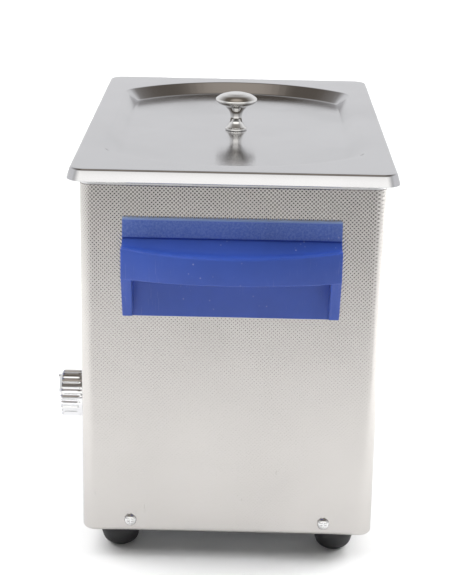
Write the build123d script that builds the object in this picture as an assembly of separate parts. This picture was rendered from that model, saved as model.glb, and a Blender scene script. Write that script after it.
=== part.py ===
"""Bench-top ultrasonic cleaner with a lift-off lid, as separate pieces.

Millimetres, +Z up. The origin is on the table under the casing's centre, the long side runs
along X and the control side faces -Y.
"""
from math import cos, pi, sin
import os

from build123d import *

# Casing, in mm: X is its length, Y its width, with the controls on -Y
CASE_L, CASE_W, CASE_R = 265.0, 165.0, 7.0      # plan size and upright corner radius
CASE_FOLD = 2.5                                 # outer radius of the fold round the bottom
CASE_SEAM = 0.5                                 # eased upper edge, seen as a seam under the rim
FOOT_H = 16.0                                   # casing's bottom above the table
CASE_TOP = 220.0                                # upper edge of the casing sheet
SHEET = 1.0                                     # sheet steel
GAP = 0.2                                       # room between nested sheet parts
FRONT, BACK = -CASE_W / 2, CASE_W / 2
CASE_SCREW_Y, CASE_SCREW_Z = 55.0, 23.5         # screws that fix the casing to the pan
PAN_FLOOR, PAN_WALL = FOOT_H + SHEET, 14.0      # underside of the base pan, and its height
PAN_SLOTS, PAN_SLOT_X, PAN_SLOT_Y, PAN_SLOT_L = 8, -35.0, 5.0, 50.0
VENTS, VENT_X, VENT_Z, VENT_H = 8, 20.0, 62.0, 36.0
SLOT_STEP, SLOT_W = 10.0, 3.0                   # pitch and width of every air slot
OPENING = 12.0                                  # casing's top opening over the tank's size

# Feet
FOOT_X, FOOT_Y = 112.5, 62.0
SOLE_R, FOOT_R, FOOT_BULGE = 5.0, 10.5, 11.6
BULGE_Z, BULGE_TOP, NECK_Z = 11.0, 13.6, 15.2    # bulge under the casing, then the neck
STUD_R, STUD_HEAD_Z, STUD_HEAD_T = 2.0, 8.0, 2.0
NUT_R, NUT_T = 4.0, 3.2
FEET = {
    "front_left": (-FOOT_X, -FOOT_Y), "front_right": (FOOT_X, -FOOT_Y),
    "rear_left": (-FOOT_X, FOOT_Y), "rear_right": (FOOT_X, FOOT_Y),
}

# Tank and its rim
TANK_L, TANK_W, TANK_R = 240.0, 135.0, 25.0     # tank opening and its upright corner radius
TANK_FLOOR, TANK_BEND = 122.0, 12.0             # inner floor level and floor bend radius
TANK_UNDER = TANK_FLOOR - SHEET
RIM_TOP = 222.5                                 # tank flange, seen as a strip over the casing
BEAD_TOP, BEAD_W, BEAD_IN = 228.2, 5.0, 2.0     # upstanding bead that carries the lid

# Lid
LID_LOW, LID_TOP, LID_OVER, LID_FLARE, LID_R = 222.7, 229.3, 6.9, 2.0, 10.0
RECESS_HALF, RECESS_DEEP, RECESS_SLOPE, RECESS_WALL = 73.5, 6.5, 8.0, 1.2
RECESS_ARC, RECESS_ARC_X, RECESS_CORNER = 96.0, 26.5, 18.0
LID_FLOOR = LID_TOP - RECESS_DEEP
LID_SCREW_R = 2.0

# Handles
HANDLE_W, HANDLE_LOW, HANDLE_TOP = 118.0, 147.3, 202.1
BAND_LOW, BAND_T, BAND_LEAN, HANDLE_BACK_T = 192.0, 4.2, 1.5, 2.5
BAR_LOW, BAR_TOP, BAR_WALL = 171.6, 189.5, 3.5
BAR_END, BAR_MID, LEG_W = 15.0, 24.0, 5.7       # how far the grip stands out, and its legs
BOSS_Y, BOSS_Z, BOSS_R, BOSS_LONG = 48.0, 181.0, 4.0, 10.0

# Controls
OVERLAY_L, OVERLAY_H, OVERLAY_R, OVERLAY_Z, OVERLAY_T = 196.0, 104.0, 6.0, 96.0, 0.6
FACE = FRONT - OVERLAY_T                        # outer face of the printed plate
DIAL_X, DIAL_Z, DIAL_R, DIAL_LONG = 75.0, 77.6, 13.6, 15.1
DIAL_BACK = FACE - 2.1                          # rear face of both dials
SHAFT_R, SHAFT_IN_DIAL = 3.0, 4.0
FLUTES, FLUTE_R, FLUTE_OUT = 24, 1.2, 0.5
POINTER_HALF, POINTER_RISE = 1.6, 1.6
FIXING_X, BUSH_R = 9.5, 4.9                     # dial unit's screws beside its axis, and bush
LAMP_X, LAMP_Z, LAMP_R, LENS_R = 12.0, 118.0, 5.2, 2.9
SWITCH_L, SWITCH_H, SWITCH_DEEP = 30.0, 21.4, 24.0
ROCKER_Y, ROCKER_TILT = FACE + 1.2, 8.0
ROCKER_HALF, ROCKER_HIGH, ROCKER_PIN = 12.9, 8.6, 14.0

# Mains inlet
INLET_X, INLET_Z, INLET_SCREW_X, INLET_FLANGE = -78.0, 52.0, 20.0, 2.6
BLADE_W, BLADE_H = 2.0, 4.0
BLADES = [(INLET_X - 7, INLET_Z - 2), (INLET_X + 7, INLET_Z - 2), (INLET_X, INLET_Z + 2)]

# Transducers, heaters and thermostat bulb under the tank
TRANSDUCER_X = 52.0
BELL_R, BELL_NECK, BELL_H = 29.0, 19.5, 26.0
STACK_TOP = TANK_UNDER - BELL_H
RING_R, RING_BORE, RING_T, FOIL_T, BACK_MASS_R, BACK_MASS_T = 17.5, 6.5, 5.0, 0.4, 19.0, 20.0
TAB_END = 25.0
HEATER_L, HEATER_H, HEATER_T, HEATER_Z = 170.0, 42.0, 1.6, 168.0
CUTOUT_Z = 160.0
BULB_R, BULB_Y, BULB_FROM, BULB_TO = 3.0, -46.0, -98.0, -30.0

# Generator board and mains terminals
BOARD_L, BOARD_W, BOARD_Y, BOARD_Z, BOARD_T = 150.0, 84.0, 6.0, 28.0, 1.6
BOARD_TOP = BOARD_Z + BOARD_T
STANDOFF_IN, STANDOFF_R, STANDOFF_BORE = 5.0, 3.0, 1.5
SINK_X, SINK_H, FINS, FIN_STEP, FIN_T = 38.0, 24.0, 7, 6.25, 2.5
CORE_HALF, CORE_NEAR, CORE_FAR, CORE_H, CORE_LIMB = 18.0, 12.0, 42.0, 26.0, 6.0
CAN_R, CAN_H, CANS = 8.0, 22.0, ((-62, 0), (-62, 20), (62, 0))
TERMINAL_X, TERMINAL_Y, TERMINAL_STEP, TERMINALS, TERMINAL_H = -61.0, 62.0, 10.0, 5, 14.0

# Basket
BASKET_L, BASKET_W, BASKET_R = 212.0, 112.0, 14.0
BASKET_FLOOR, BASKET_TOP, BASKET_RIM, LEG_R = 142.0, 204.0, 1.5, 1.5
LEG_X, LEG_Y, LEG_CLEAR = 84.0, 38.0, 0.3
BAIL_Y, BAIL_TOP, BAIL_R = 26.0, 216.0, 1.5


# ---- small shape helpers ----
def brick(low, high):
    """Block between two corners."""
    size = [b - a for a, b in zip(low, high)]
    mid = [(a + b) / 2 for a, b in zip(low, high)]
    return Pos(*mid) * Box(*size)


def slab(length, width, radius, low, high, x=0.0, y=0.0):
    """Plate with rounded upright corners, from level low to level high."""
    return extrude(Pos(x, y, low) * RectangleRounded(length, width, radius), amount=high - low)


def upright(length, height, radius, near, far, x, z):
    """Plate standing in the XZ plane, from y = near to y = far."""
    face = Plane(origin=(x, near, z), x_dir=(1, 0, 0), z_dir=(0, 1, 0))
    return extrude(face * RectangleRounded(length, height, radius), amount=far - near)


def rod(radius, start, end):
    """Round bar between two points."""
    run = Vector(*end) - Vector(*start)
    return extrude(Plane(origin=start, z_dir=run) * Circle(radius), amount=run.length)


def turned(points, x):
    """Solid of revolution about the upright axis at x, profile in (radius, height)."""
    face = Plane.XZ * make_face(Polyline(*points, close=True))
    return Pos(x, 0, 0) * revolve(face, axis=Axis.Z)


def lead(radius, points, bend):
    """Wire of round section along straight runs and tangent arcs."""
    path = FilletPolyline(*points, radius=bend)
    start = Plane(origin=path @ 0, z_dir=path % 0)
    return sweep(start * Circle(radius), path=path)


def end_hole(radius, side, y, z):
    """Cutter for a hole through one end wall of the casing."""
    wall = side * CASE_L / 2
    return rod(radius, (wall - side * 4.5, y, z), (wall + side * 1.5, y, z))


def side_prism(points, near, width):
    """Prism from a section in the XZ plane, from y = near over a width."""
    face = Plane(origin=(0, near, 0), x_dir=(1, 0, 0), z_dir=(0, -1, 0))
    return extrude(face * make_face(Polyline(*points, close=True)), amount=-width)


def pan_head(radius, height, shank_r, shank, at, way):
    """Pan-head screw: head seated at a point, shank running along way."""
    way, seat = Vector(*way), Vector(*at)
    head = rod(radius, seat - way * height, seat)
    rim = head.edges().filter_by(GeomType.CIRCLE).sort_by(lambda e: (e.center() - seat).length)[-1]
    return fillet(rim, height * 0.6) + rod(shank_r, seat, seat + way * shank)


def write(node, *solids):
    """Write one node's solids to its STEP file."""
    shape = solids[0] if len(solids) == 1 else Compound(children=list(solids))
    export_step(shape, f"parts/{node}.step")


# ---- casing ----
def casing_shell():
    """Folded sheet wrap with inward top and bottom flanges and all its cut-outs."""
    inner_l, inner_w, inner_r = CASE_L - 2 * SHEET, CASE_W - 2 * SHEET, CASE_R - SHEET
    outer = slab(CASE_L, CASE_W, CASE_R, FOOT_H, CASE_TOP)
    outer = fillet(outer.faces().sort_by(Axis.Z)[0].edges(), CASE_FOLD)
    outer = chamfer(outer.faces().sort_by(Axis.Z)[-1].edges(), CASE_SEAM)
    shell = outer - slab(inner_l, inner_w, inner_r, FOOT_H + SHEET, CASE_TOP - SHEET)
    shell -= slab(CASE_L - 18, CASE_W - 18, 2, FOOT_H - 1, FOOT_H + 2)
    shell -= slab(TANK_L + OPENING, TANK_W + OPENING, TANK_R, CASE_TOP - 2, CASE_TOP + 1)
    for side in (-1, 1):
        shell -= rod(5.0, (side * DIAL_X, FRONT - 1, DIAL_Z), (side * DIAL_X, FRONT + 3, DIAL_Z))
        for dx in (-FIXING_X, FIXING_X):
            x = side * DIAL_X + dx
            shell -= rod(1.6, (x, FRONT - 1, DIAL_Z), (x, FRONT + 3, DIAL_Z))
        lamp_x = side * LAMP_X
        shell -= rod(4.0, (lamp_x, FRONT - 1, LAMP_Z), (lamp_x, FRONT + 3, LAMP_Z))
        for y in (-BOSS_Y, BOSS_Y):
            shell -= end_hole(2.2, side, y, BOSS_Z)
        for y in (-CASE_SCREW_Y, CASE_SCREW_Y):
            shell -= end_hole(2.2, side, y, CASE_SCREW_Z)
    shell -= upright(SWITCH_L + 0.4, SWITCH_H + 0.4, 1, FRONT - 1, FRONT + 3, 0, DIAL_Z)
    shell -= upright(27.4, 20.4, 4, BACK - 3, BACK + 1, INLET_X, INLET_Z)
    for dx in (-INLET_SCREW_X, INLET_SCREW_X):
        x = INLET_X + dx
        shell -= rod(1.7, (x, BACK - 3, INLET_Z), (x, BACK + 1, INLET_Z))
    for i in range(VENTS):
        x = VENT_X + i * SLOT_STEP
        shell -= upright(SLOT_W, VENT_H, 1.45, BACK - 3, BACK + 1, x, VENT_Z)
    return shell


def base_pan():
    """Bottom tray inside the casing, with upturned walls, foot holes and air slots."""
    length, width = CASE_L - 2 * (SHEET + GAP), CASE_W - 2 * (SHEET + GAP)
    top = PAN_FLOOR + PAN_WALL
    pan = slab(length, width, 5.5, PAN_FLOOR, top)
    pan -= slab(length - 2 * SHEET, width - 2 * SHEET, 4.5, PAN_FLOOR + SHEET, top + 1)
    for x, y in FEET.values():
        pan -= rod(STUD_R + 0.1, (x, y, PAN_FLOOR - 1), (x, y, PAN_FLOOR + 2))
    for side in (-1, 1):
        for y in (-CASE_SCREW_Y, CASE_SCREW_Y):
            pan -= end_hole(1.95, side, y, CASE_SCREW_Z)
    for x, y in standoff_places():
        pan -= rod(1.6, (x, y, PAN_FLOOR - 1), (x, y, PAN_FLOOR + 2))
    for i in range(PAN_SLOTS):
        x = PAN_SLOT_X + i * SLOT_STEP
        pan -= slab(SLOT_W, PAN_SLOT_L, 1.45, PAN_FLOOR - 1, PAN_FLOOR + 2, x, PAN_SLOT_Y)
    return pan


def foot(x, y):
    """Domed rubber foot with a moulded-in stud cavity."""
    with BuildSketch(Plane.XZ) as half:
        with BuildLine():
            Line((0, 0), (SOLE_R, 0))
            Spline((SOLE_R, 0), (8.6, 2.3), (10.8, 6.2), (FOOT_BULGE, BULGE_Z),
                   tangents=((1, 0.15), (0, 1)))
            Polyline((FOOT_BULGE, BULGE_Z), (FOOT_BULGE, BULGE_TOP), (FOOT_R, NECK_Z),
                     (FOOT_R, PAN_FLOOR))
            Line((FOOT_R, PAN_FLOOR), (0, PAN_FLOOR))
            Line((0, PAN_FLOOR), (0, 0))
        make_face()
    dome = revolve(half.sketch, axis=Axis.Z)
    dome -= rod(5.0, (0, 0, STUD_HEAD_Z), (0, 0, STUD_HEAD_Z + STUD_HEAD_T))
    dome -= rod(STUD_R, (0, 0, STUD_HEAD_Z + 1), (0, 0, PAN_FLOOR + 1))
    return Pos(x, y, 0) * dome


def foot_stud(x, y):
    """Stud with a disc head held in the rubber."""
    head = rod(5.0, (x, y, STUD_HEAD_Z), (x, y, STUD_HEAD_Z + STUD_HEAD_T))
    return head + rod(STUD_R, (x, y, STUD_HEAD_Z + 1), (x, y, PAN_FLOOR + 8))


def foot_nut(x, y):
    """Hexagon nut on the pan floor."""
    blank = extrude(Pos(x, y, PAN_FLOOR + SHEET) * RegularPolygon(NUT_R, 6), amount=NUT_T)
    return blank - rod(STUD_R + 0.05, (x, y, PAN_FLOOR), (x, y, PAN_FLOOR + 8))


# ---- tank ----
def tank_basin():
    """Drawn basin with its flange, edge strip and upstanding bead."""
    low, thin = TANK_UNDER, SHEET
    cup = slab(TANK_L + 2 * thin, TANK_W + 2 * thin, TANK_R + thin, low, RIM_TOP)
    cup = fillet(cup.faces().sort_by(Axis.Z)[0].edges(), TANK_BEND + thin)
    well = slab(TANK_L, TANK_W, TANK_R, TANK_FLOOR, RIM_TOP + 10)
    well = fillet(well.faces().sort_by(Axis.Z)[0].edges(), TANK_BEND)
    flange = slab(CASE_L, CASE_W, CASE_R, RIM_TOP - thin, RIM_TOP)
    edge = slab(CASE_L, CASE_W, CASE_R, CASE_TOP, RIM_TOP - thin)
    edge -= slab(CASE_L - 2, CASE_W - 2, CASE_R - 1, CASE_TOP - 1, RIM_TOP)
    bead_l, bead_w = CASE_L - 2 * BEAD_IN, CASE_W - 2 * BEAD_IN
    bead = slab(bead_l, bead_w, CASE_R - 2, RIM_TOP, BEAD_TOP)
    bead = fillet(bead.faces().sort_by(Axis.Z)[-1].edges(), BEAD_IN)
    bead -= slab(bead_l - 2 * BEAD_W, bead_w - 2 * BEAD_W, 3, RIM_TOP - 1, BEAD_TOP + 1)
    hollow = slab(bead_l - 2, bead_w - 2, CASE_R - 3, RIM_TOP - 2, BEAD_TOP - thin)
    hollow -= slab(bead_l - 2 * BEAD_W + 2, bead_w - 2 * BEAD_W + 2, 4, RIM_TOP - 3, BEAD_TOP)
    return cup + flange + edge + bead - hollow - well


def rim_seal():
    """Silicone bead between the tank flange and the casing's top flange."""
    ring = slab(CASE_L - 5, CASE_W - 5, CASE_R - 2.5, CASE_TOP, RIM_TOP - SHEET)
    return ring - slab(TANK_L + OPENING, TANK_W + OPENING, TANK_R, CASE_TOP - 1, RIM_TOP)


# ---- lid ----
def recess_outline(inset, level):
    """Outline of the lid's recess: straight long sides and bowed ends."""
    half, arc = RECESS_HALF - inset, RECESS_ARC - inset
    corner_x = RECESS_ARC_X + (arc ** 2 - half ** 2) ** 0.5
    with BuildSketch(Plane.XY.offset(level)) as outline:
        with BuildLine():
            for side in (-1, 1):
                Line((-corner_x, side * half), (corner_x, side * half))
                apex = side * (RECESS_ARC_X + arc)
                ThreePointArc((side * corner_x, -half), (apex, 0), (side * corner_x, half))
        make_face()
        fillet(outline.vertices(), RECESS_CORNER - inset)
    return outline.sketch


def lid_pan():
    """Pressed lid: flat margin, flared lip, and a sunk middle with sloped walls."""
    def lip(inset, low, high):
        length, width = CASE_L + 2 * (LID_OVER - inset), CASE_W + 2 * (LID_OVER - inset)
        upper = RectangleRounded(length - 2 * LID_FLARE, width - 2 * LID_FLARE, LID_R - 1 - inset)
        lower = RectangleRounded(length, width, LID_R - inset)
        return loft([(Pos(0, 0, low) * lower).face(), (Pos(0, 0, high) * upper).face()])

    lid = lip(0, LID_LOW, LID_TOP) - lip(SHEET, LID_LOW - 0.01, LID_TOP - SHEET)
    tub = loft([recess_outline(RECESS_SLOPE - RECESS_WALL, LID_FLOOR - SHEET).face(),
                recess_outline(-RECESS_WALL, LID_TOP).face()])
    hole = loft([recess_outline(RECESS_SLOPE, LID_FLOOR).face(),
                 recess_outline(0, LID_TOP).face()])
    return lid + tub - hole - rod(LID_SCREW_R + 0.2, (0, 0, LID_FLOOR - 5), (0, 0, LID_FLOOR + 5))


def lid_knob():
    """Polished mushroom knob: flange, waisted neck and domed cap."""
    with BuildSketch(Plane.XZ) as half:
        with BuildLine():
            Line((0, 0), (6.6, 0))
            Line((6.6, 0), (6.6, 1.0))
            ThreePointArc((6.6, 1.0), (6.2, 1.6), (5.2, 1.9))
            Spline((5.2, 1.9), (3.4, 7.6), (5.4, 13.6), (12.0, 17.4))
            ThreePointArc((12.0, 17.4), (12.75, 18.4), (12.2, 19.3))
            Spline((12.2, 19.3), (7.0, 22.2), (0, 23.0), tangents=((-1, 0.75), (-1, 0)))
            Line((0, 23.0), (0, 0))
        make_face()
    knob = revolve(half.sketch, axis=Axis.Z) - rod(LID_SCREW_R + 0.05, (0, 0, -1), (0, 0, 10))
    return Pos(0, 0, LID_FLOOR) * knob


# ---- handles ----
def grip_line(y, inset=0.0):
    """Distance of the bowed grip from the casing end at a place across it."""
    half = HANDLE_W / 2
    return BAR_MID - (BAR_MID - BAR_END) * (y / half) ** 2 - inset


def bowed_plan(inset, level):
    """Plan of the grip's outer edge, from the casing end outwards."""
    half = HANDLE_W / 2
    with BuildSketch(Plane.XY.offset(level)) as plan:
        with BuildLine():
            Line((0, -half), (grip_line(half, inset), -half))
            ThreePointArc((grip_line(half, inset), -half), (grip_line(0, inset), 0),
                          (grip_line(half, inset), half))
            Line((grip_line(half, inset), half), (0, half))
            Line((0, half), (0, -half))
        make_face()
    return plan.sketch


def handle(side):
    """Moulded grip for one end: back plate, top band, bowed bar and tapered legs."""
    half = HANDLE_W / 2
    back = brick((0, -half, HANDLE_LOW), (HANDLE_BACK_T, half, HANDLE_TOP))
    band = side_prism([(0, BAND_LOW), (BAND_T, BAND_LOW), (BAND_T - BAND_LEAN, HANDLE_TOP),
                       (0, HANDLE_TOP)], -half, HANDLE_W)
    bar = extrude(bowed_plan(0, BAR_LOW), amount=BAR_TOP - BAR_LOW)
    bar -= extrude(bowed_plan(BAR_WALL, BAR_LOW - 1), amount=BAR_TOP - BAR_LOW - 2)
    roof = extrude(bowed_plan(1.0, BAR_TOP - 3), amount=3)
    grip = back + band + bar + roof
    leg = [(0, HANDLE_LOW), (HANDLE_BACK_T + 0.8, HANDLE_LOW), (BAR_END - 0.3, BAR_LOW),
           (BAR_END - 0.3, BAR_TOP - 1), (0, BAR_TOP - 1)]
    for y in (-half, half - LEG_W):
        grip += side_prism(leg, y, LEG_W)
    for y in (-BOSS_Y, BOSS_Y):
        grip += rod(BOSS_R, (1, y, BOSS_Z), (BOSS_LONG + 2, y, BOSS_Z))
        grip -= rod(1.8, (-1, y, BOSS_Z), (BOSS_LONG, y, BOSS_Z))
    grip = Pos(CASE_L / 2, 0, 0) * grip
    return grip if side > 0 else grip.mirror(Plane.YZ)


# ---- dials and switch on the control side ----
def dial_knob(x):
    """Fluted dial with a chamfered end and a raised pointer bar, bored for its shaft."""
    far = DIAL_BACK - DIAL_LONG
    knob = rod(DIAL_R, (x, DIAL_BACK, DIAL_Z), (x, far, DIAL_Z))
    knob = chamfer(knob.faces().sort_by(Axis.Y)[0].edges(), 1.4)
    for i in range(FLUTES):
        a = 2 * pi * i / FLUTES
        ring = DIAL_R + FLUTE_OUT
        fx, fz = x + ring * cos(a), DIAL_Z + ring * sin(a)
        knob -= rod(FLUTE_R, (fx, DIAL_BACK - 2.0, fz), (fx, far - 1, fz))
    knob += brick((x - POINTER_HALF, far - POINTER_RISE, DIAL_Z - 2),
                  (x + POINTER_HALF, far + 0.5, DIAL_Z + DIAL_R - 2))
    bore = SHAFT_R + 0.02
    return knob - rod(bore, (x, DIAL_BACK + 1, DIAL_Z), (x, far + SHAFT_IN_DIAL, DIAL_Z))


def dial_shaft(x, inner):
    """Control shaft from inside the unit to inside the dial."""
    return rod(SHAFT_R, (x, inner, DIAL_Z), (x, DIAL_BACK - DIAL_LONG + SHAFT_IN_DIAL, DIAL_Z))


def dial_case(x, width, height, depth):
    """Unit behind the wall, with a bush through it and a running bore for the shaft."""
    near = FRONT + SHEET
    case = upright(width, height, 3, near, near + depth, x, DIAL_Z)
    case += rod(BUSH_R, (x, near + 1, DIAL_Z), (x, FACE - 1.2, DIAL_Z))
    case -= rod(SHAFT_R + 0.05, (x, FRONT - 5, DIAL_Z), (x, near + depth - 6, DIAL_Z))
    for dx in (-FIXING_X, FIXING_X):
        case -= rod(1.5, (x + dx, near - 1, DIAL_Z), (x + dx, near + 8, DIAL_Z))
    return case


def dial_screw(x):
    """Screw through overlay and wall into a dial unit."""
    return pan_head(2.7, 1.6, 1.45, 8.0, (x, FACE, DIAL_Z), (0, 1, 0))


def control_overlay():
    """Printed plate on the control side, cut for dials, switch and lamps."""
    plate = upright(OVERLAY_L, OVERLAY_H, OVERLAY_R, FACE, FRONT, 0, OVERLAY_Z)
    for side in (-1, 1):
        x, lamp_x = side * DIAL_X, side * LAMP_X
        plate -= rod(5.0, (x, FACE - 1, DIAL_Z), (x, FRONT + 1, DIAL_Z))
        for dx in (-FIXING_X, FIXING_X):
            plate -= rod(1.6, (x + dx, FACE - 1, DIAL_Z), (x + dx, FRONT + 1, DIAL_Z))
        plate -= rod(4.0, (lamp_x, FACE - 1, LAMP_Z), (lamp_x, FRONT + 1, LAMP_Z))
    return plate - upright(SWITCH_L + 0.4, SWITCH_H + 0.4, 1, FACE - 1, FRONT + 1, 0, DIAL_Z)



def switch_housing():
    """Rocker switch body with bezel, rocker well and pivot sockets."""
    deep = FRONT + SWITCH_DEEP
    body = upright(SWITCH_L, SWITCH_H, 1, FACE, deep, 0, DIAL_Z)
    body += upright(SWITCH_L + 5, SWITCH_H + 5, 2, FACE - 1.8, FACE, 0, DIAL_Z)
    body -= upright(26.4, 19.0, 0.5, FACE - 3, FRONT + 8, 0, DIAL_Z)
    body -= rod(1.55, (-14.2, ROCKER_Y, DIAL_Z), (14.2, ROCKER_Y, DIAL_Z))
    for dx in (-9, 0, 9):
        body += brick((dx - 2.4, deep, DIAL_Z - 0.4), (dx + 2.4, deep + 7, DIAL_Z + 0.4))
    return body


def power_rocker():
    """Rocker key with a dished face and pivot pins, tilted to its off position."""
    high, deep = ROCKER_HIGH, 2.4
    section = [(deep, 0), (deep + 2.2, high), (-3.5, high), (-5.5, 0), (-3.5, -high),
               (deep + 2.2, -high)]
    face = Plane(origin=(-ROCKER_HALF, 0, 0), x_dir=(0, -1, 0), z_dir=(-1, 0, 0))
    key = extrude(face * make_face(Polyline(*section, close=True)), amount=-2 * ROCKER_HALF)
    key += rod(1.5, (-ROCKER_PIN, 0, 0), (ROCKER_PIN, 0, 0))
    return Pos(0, ROCKER_Y, DIAL_Z) * Rot(-ROCKER_TILT, 0, 0) * key


def lamp(x, lens):
    """Panel lamp: threaded bezel, or the domed lens in it."""
    z = LAMP_Z
    if lens:
        dome = rod(LENS_R, (x, FACE + 2, z), (x, FACE - 3.4, z))
        return fillet(dome.faces().sort_by(Axis.Y)[0].edges(), 1.6)
    bezel = rod(LAMP_R, (x, FACE, z), (x, FACE - 1.6, z))
    bezel += rod(3.9, (x, FACE, z), (x, FRONT + 14, z))
    return bezel - rod(LENS_R + 0.05, (x, FACE - 3, z), (x, FACE + 2, z))


# ---- rear inlet ----

def power_inlet():
    """Appliance inlet housing with flange and socket cavity."""
    body = upright(27, 20, 3.8, BACK - 20, BACK, INLET_X, INLET_Z)
    body += upright(50, 28, 4, BACK, BACK + INLET_FLANGE, INLET_X, INLET_Z)
    body -= upright(24.2, 16.4, 3.0, BACK - 14.5, BACK + 4, INLET_X, INLET_Z)
    for dx in (-INLET_SCREW_X, INLET_SCREW_X):
        x = INLET_X + dx
        body -= rod(1.7, (x, BACK - 1, INLET_Z), (x, BACK + 4, INLET_Z))
    for x, z in BLADES:
        body -= blade(x, z, BACK - 21, BACK - 13)
    return body


def blade(x, z, near, far):
    """Flat contact blade between two distances."""
    return brick((x - BLADE_W / 2, near, z - BLADE_H / 2), (x + BLADE_W / 2, far, z + BLADE_H / 2))


# ---- underside of the tank ----
def front_mass(x):
    """Aluminium bell that is bonded under the tank floor."""
    z = TANK_UNDER
    bell = turned([(0, z), (BELL_R, z), (BELL_R, z - 4), (BELL_NECK, STACK_TOP), (0, STACK_TOP)], x)
    return bell - rod(4.0, (x, 0, STACK_TOP - 1), (x, 0, z - 12))


def ring_level(i):
    """Upper face of piezo ring number i."""
    return STACK_TOP - FOIL_T - i * (RING_T + FOIL_T)


def washer(x, outer, inner, top, thick):
    """Flat ring round a transducer's axis."""
    return rod(outer, (x, 0, top - thick), (x, 0, top)) - rod(inner, (x, 0, top - thick - 1),
                                                              (x, 0, top + 1))


def electrode(x, i):
    """Contact foil with a solder tab."""
    top = ring_level(i) + FOIL_T
    foil = rod(18.5, (x, 0, top - FOIL_T), (x, 0, top))
    foil += brick((x - 2.5, 10, top - FOIL_T), (x + 2.5, TAB_END, top))
    return foil - rod(6.0, (x, 0, top - 2), (x, 0, top + 2))


def transducer(x):
    """Pieces of one sandwich transducer, top to bottom, by name."""
    back_top = ring_level(2)
    low = back_top - BACK_MASS_T
    bolt = rod(3.95, (x, 0, STACK_TOP + 13), (x, 0, low)) + rod(8, (x, 0, low), (x, 0, low - 7))
    bolt -= extrude(Pos(x, 0, low - 8) * RegularPolygon(4.6, 6), amount=5)
    return {
        "front_mass": [front_mass(x)],
        "piezo_rings": [washer(x, RING_R, RING_BORE, ring_level(i), RING_T) for i in range(2)],
        "electrodes": [electrode(x, i) for i in range(3)],
        "back_mass": [washer(x, BACK_MASS_R, 4.1, back_top, BACK_MASS_T)],
        "clamp_bolt": [bolt],
    }


def heater_pad(side):
    """Flat silicone heater bonded to a long wall of the tank."""
    wall = side * (TANK_W / 2 + SHEET)
    near, far = sorted((wall, wall + side * HEATER_T))
    return upright(HEATER_L, HEATER_H, 4, near, far, 0, HEATER_Z)


def thermal_cutout():
    """Snap-disc cut-out on the tank's end wall."""
    wall, z = -(TANK_L / 2 + SHEET), CUTOUT_Z
    return rod(7.5, (wall, 0, z), (wall - 4, 0, z)) + rod(5.5, (wall - 4, 0, z), (wall - 7, 0, z))


# ---- generator ----
def standoff_places():
    """Corner fixings of the generator board."""
    dx, dy = BOARD_L / 2 - STANDOFF_IN, BOARD_W / 2 - STANDOFF_IN
    return [(sx * dx, BOARD_Y + sy * dy) for sx in (-1, 1) for sy in (-1, 1)]


def generator_board():
    """Circuit board with its fixing holes."""
    board = slab(BOARD_L, BOARD_W, 2, BOARD_Z, BOARD_TOP, y=BOARD_Y)
    for x, y in standoff_places():
        board -= rod(1.6, (x, y, BOARD_Z - 1), (x, y, BOARD_Z + 3))
    return board


def standoff(x, y):
    """Pillar from the pan floor to the board, with a tapped bore."""
    low = PAN_FLOOR + SHEET
    pillar = rod(STANDOFF_R, (x, y, low), (x, y, BOARD_Z))
    return pillar - rod(STANDOFF_BORE, (x, y, low - 1), (x, y, BOARD_Z + 1))


def heat_sink(x):
    """Finned aluminium heat sink on the board."""
    low, top = BOARD_TOP, BOARD_TOP + SINK_H
    sink = brick((x - 20, -22, low), (x + 20, -19, top))
    for i in range(FINS):
        fin = x - 20 + i * FIN_STEP
        sink += brick((fin, -34, low), (fin + FIN_T, -21, top))
    return sink


def power_transistor(x):
    """Flat power transistor bolted to the face of a heat sink."""
    return brick((x - 8, -19, BOARD_TOP + 3), (x + 8, -14.2, BOARD_TOP + 22))


def output_transformer():
    """Ferrite core with a window for its winding."""
    top, window = BOARD_TOP + CORE_H, CORE_HALF - CORE_LIMB
    core = brick((-CORE_HALF, CORE_NEAR, BOARD_TOP), (CORE_HALF, CORE_FAR, top))
    return core - brick((-window, CORE_NEAR - 2, BOARD_TOP + CORE_LIMB),
                        (window, CORE_FAR + 2, top - CORE_LIMB))


def transformer_winding():
    """Winding through the window of the core."""
    low, top = BOARD_TOP + CORE_LIMB + 0.5, BOARD_TOP + CORE_H - CORE_LIMB - 0.5
    return slab(2 * (CORE_HALF - CORE_LIMB) - 1, 40, 5, low, top, y=(CORE_NEAR + CORE_FAR) / 2)


def capacitor(x, y):
    """Upright can capacitor."""
    can = rod(CAN_R, (x, y, BOARD_TOP), (x, y, BOARD_TOP + CAN_H))
    return fillet(can.faces().sort_by(Axis.Z)[-1].edges(), 1.2)


def terminal_block():
    """Mains terminal strip on the pan floor."""
    low = PAN_FLOOR + SHEET
    first, last = TERMINAL_X - 5, TERMINAL_X + TERMINALS * TERMINAL_STEP - 5
    block = brick((first, TERMINAL_Y - 8, low), (last, TERMINAL_Y + 8, low + TERMINAL_H))
    for i in range(TERMINALS):
        x = TERMINAL_X + i * TERMINAL_STEP
        block -= rod(2.2, (x, TERMINAL_Y, low + 6), (x, TERMINAL_Y, low + TERMINAL_H + 1))
    return block


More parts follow.
